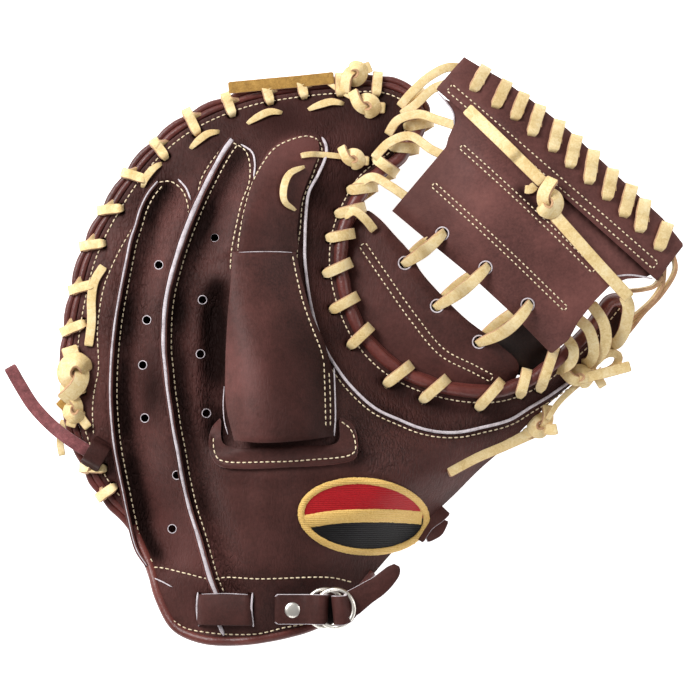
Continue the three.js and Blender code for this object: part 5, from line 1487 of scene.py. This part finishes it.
# Pinky strap, napped side out, and its keeper: along, and rise over the back
pinkyStrap = {"width": 6.5, "thick": 2.0, "path": [
    (-171, -8.5, 33), (-165.5, -18, 36), (-159, -28, 39.5), (-150, -37.5, 44.5), (-141, -44.5, 50.4),
    (-134, -49, 51.6), (-126, -53.5, float(back(-125, -54)) + 2.4)]}
piece = Piece("pinky_strap_suede")
addRibbon(piece, look=redSuede, edgeLook=redSuede, **pinkyStrap)
piece.make(["pinky_strap"])

keeperPart = {"x": -127, "y": -52, "turn": 1.05, "width": 10, "thick": 1.6, "dark": 0.45, "way": [
    (-7.5, -0.6), (-5.6, 1.4), (-4.4, 4.6), (0, 5.8), (4.4, 4.6), (5.6, 1.4), (7.5, -0.6)]}
piece = Piece("strap_keeper_leather", shadeAndToneAt=even(keeperPart["dark"]))
c, s = math.cos(keeperPart["turn"]), math.sin(keeperPart["turn"])
keeperZ = highest(back, keeperPart["x"], keeperPart["y"], 4) + 1
keeperWay = [(keeperPart["x"] + u * c, keeperPart["y"] + u * s, keeperZ + rise)
             for u, rise in keeperPart["way"]]
addRibbon(piece, keeperWay, (s, -c, 0), width=keeperPart["width"], thick=keeperPart["thick"], look=leather,
          edgeLook=leather)
piece.make(["strap_keeper"])
print("wrist pieces made")

# Patch: oval, embroidered, with a satin-stitched edge and a plain band across a two-coloured field
patch = {"x": 7, "y": -83, "rx": 33, "ry": 19.5, "turn": -0.09, "rise": 1.3, "rowPitch": 0.9,
         "edge": {"width": 3.6, "height": 1.5}, "band": {"width": 7.5, "height": 1.5},
         "bandLine": [(-29, -5), (-15, -1.5), (0, 0.5), (15, 1.5), (29, 1.5)]}
satin = {"step": 0.42, "uneven": 0.08, "high": 0.11, "low": -0.05, "sunk": 0.6, "points": 9}
patchTop = lambda x, y: back(x, y) + patch["rise"]


def patchOval(inset, count):
    return ellipse(patch["x"], patch["y"], patch["rx"] - inset, patch["ry"] - inset, count, patch["turn"])


def addSatin(piece, line, width, height, look, closed=False):
    # Satin stitch: threads laid side by side across a line, each a little proud of the next
    line = resampled(line, satin["step"], closed)
    n, m = len(line), satin["points"]
    uneven = satin["uneven"] * np.random.default_rng(21).normal(size=n)
    ridge = np.where(np.arange(n) % 2, satin["high"], satin["low"])
    side = shifted(line, 1.0, closed) - line
    share = np.linspace(-1, 1, m)[None]
    reach = share * (width / 2 + uneven[:, None])
    bulge = height * np.sqrt(np.maximum(0, 1 - share**2)) + ridge[:, None] * (1 - share**4)
    plan = (line[:, None] + side[:, None] * reach[..., None]).reshape(-1, 2)
    faces = [(k * m + a, k * m + a + 1, (k + 1) % n * m + a + 1, (k + 1) % n * m + a)
             for k in range(n if closed else n - 1) for a in range(m - 1)]
    piece.add(laidOn(plan, patchTop, bulge.ravel() - satin["sunk"]), faces, look)


piece = Piece("patch_embroidery")
coords, faces = triangulated(patchOval(1.6, 120), [], np.zeros((0, 2)), 1.4)
c, s = math.cos(patch["turn"]), math.sin(patch["turn"])
turned = np.array([[c, -s], [s, c]])    # takes plan points to the patch's own axes
centre = (patch["x"], patch["y"])
rows = 0.06 * np.sin(((coords - centre) @ turned)[:, 1] * 2 * math.pi / patch["rowPitch"])
u, v = ((coords[faces].mean(1) - centre) @ turned).T
isRed = v > np.interp(u, *np.array(patch["bandLine"]).T)
field = laidOn(coords, patchTop, rows - 0.15)
piece.add(field, faces[isRed], redThread)
piece.add(field, faces[~isRed], blackThread)
addSatin(piece, patchOval(1.7, 200), look=goldThread, closed=True, **patch["edge"])
bandCurve = [(patch["x"] + u * c - v * s, patch["y"] + u * s + v * c) for u, v in patch["bandLine"]]
addSatin(piece, curved(bandCurve, 1.0), look=goldThread, **patch["band"])
piece.make(["patch"])
print("patch made")

# Thread
piece = Piece("back_stitches")
for name, line in seamStitch.items():
    addStitches(piece, line, overAll if name == "indexLeft" else backTop)
addStitches(piece, rimStitch, backTop)
piece.make()
piece = Piece("finger_stitches")
for line in hoodStitches:
    addStitches(piece, line, hood)
addStitches(piece, tabStitch, tabTop)
piece.make()
webStitch = {"pitch": 2.7, "length": 1.75}
piece = Piece("web_stitches")
for part, surface in (("panel", webTop), ("band", bandTop), ("base", webBaseUpper)):
    for lines in rowSets[part]:
        for line in lines:
            addStitches(piece, line, surface, **webStitch)
piece.make()
print("thread made")

# Floor, light and camera
floorPart = {"half": 3, "colors": ("#f4f4f4", "#f8f8f8"), "rough": 0.9, "glow": 0.9}
floorMesh = bpy.data.meshes.new("floor")
corners = [(u * floorPart["half"], v * floorPart["half"], 0) for u, v in ((-1, -1), (1, -1), (1, 1), (-1, 1))]
floorMesh.from_pydata(corners, [], [(0, 1, 2, 3)])
floor = bpy.data.objects.new("floor", floorMesh)
bpy.context.scene.collection.objects.link(floor)
# Background paper: matt, and lit from within a little, so it stays an even white
paper, tree, shader, place = startMaterial("white background paper")
pulp = addNode(tree, "TexNoise", {"Vector": place, "Scale": perMetre(333.3), "Detail": 2, "Roughness": 0.55})
white = addNode(tree, "ValToRGB", {"Fac": pulp}, stops=list(zip((0.3, 0.7), floorPart["colors"])))
connect(tree, shader, {"Base Color": white, "Roughness": floorPart["rough"], "Emission Color": (1, 1, 1, 1),
                       "Emission Strength": floorPart["glow"]})
floorMesh.materials.append(paper)

softBoxes = [
    {"name": "soft box, upper left", "place": (-1.5, 1.2, 1.7), "size": (1.25, 1.25), "power": 86},
    {"name": "soft box, right", "place": (1.25, 0.35, 0.9), "size": (0.5, 1.0), "power": 7},
    {"name": "soft box, below", "place": (-0.15, -1.35, 0.95), "size": (1.2, 0.5), "power": 6},
]
aim = Vector((0, 0, 0.05))
for box in softBoxes:
    data = bpy.data.lights.new(box["name"], "AREA")
    data.shape = "RECTANGLE"
    data.size, data.size_y = box["size"]
    data.energy = box["power"]
    made = bpy.data.objects.new(box["name"], data)
    made.location = box["place"]
    made.rotation_euler = (aim - Vector(box["place"])).to_track_quat("-Z", "Y").to_euler()
    bpy.context.scene.collection.objects.link(made)
world = bpy.data.worlds.new("studio")
world.use_nodes = True
connect(world.node_tree, world.node_tree.nodes["Background"], {"Color": (1, 1, 1, 1), "Strength": 0.26})
bpy.context.scene.world = world
bpy.context.scene.view_settings.view_transform = "Standard"

view = {"height": 5.06, "focus": 0.06, "width": 0.35, "sensor": 36}
camera = bpy.data.cameras.new("camera")
camera.sensor_width = view["sensor"]
camera.lens = view["sensor"] * (view["height"] - view["focus"]) / view["width"]
camera.clip_end = 20
cameraObject = bpy.data.objects.new("camera", camera)
cameraObject.location = (planShift[0] * 0.001, planShift[1] * 0.001, view["height"])
bpy.context.scene.collection.objects.link(cameraObject)
bpy.context.scene.camera = cameraObject
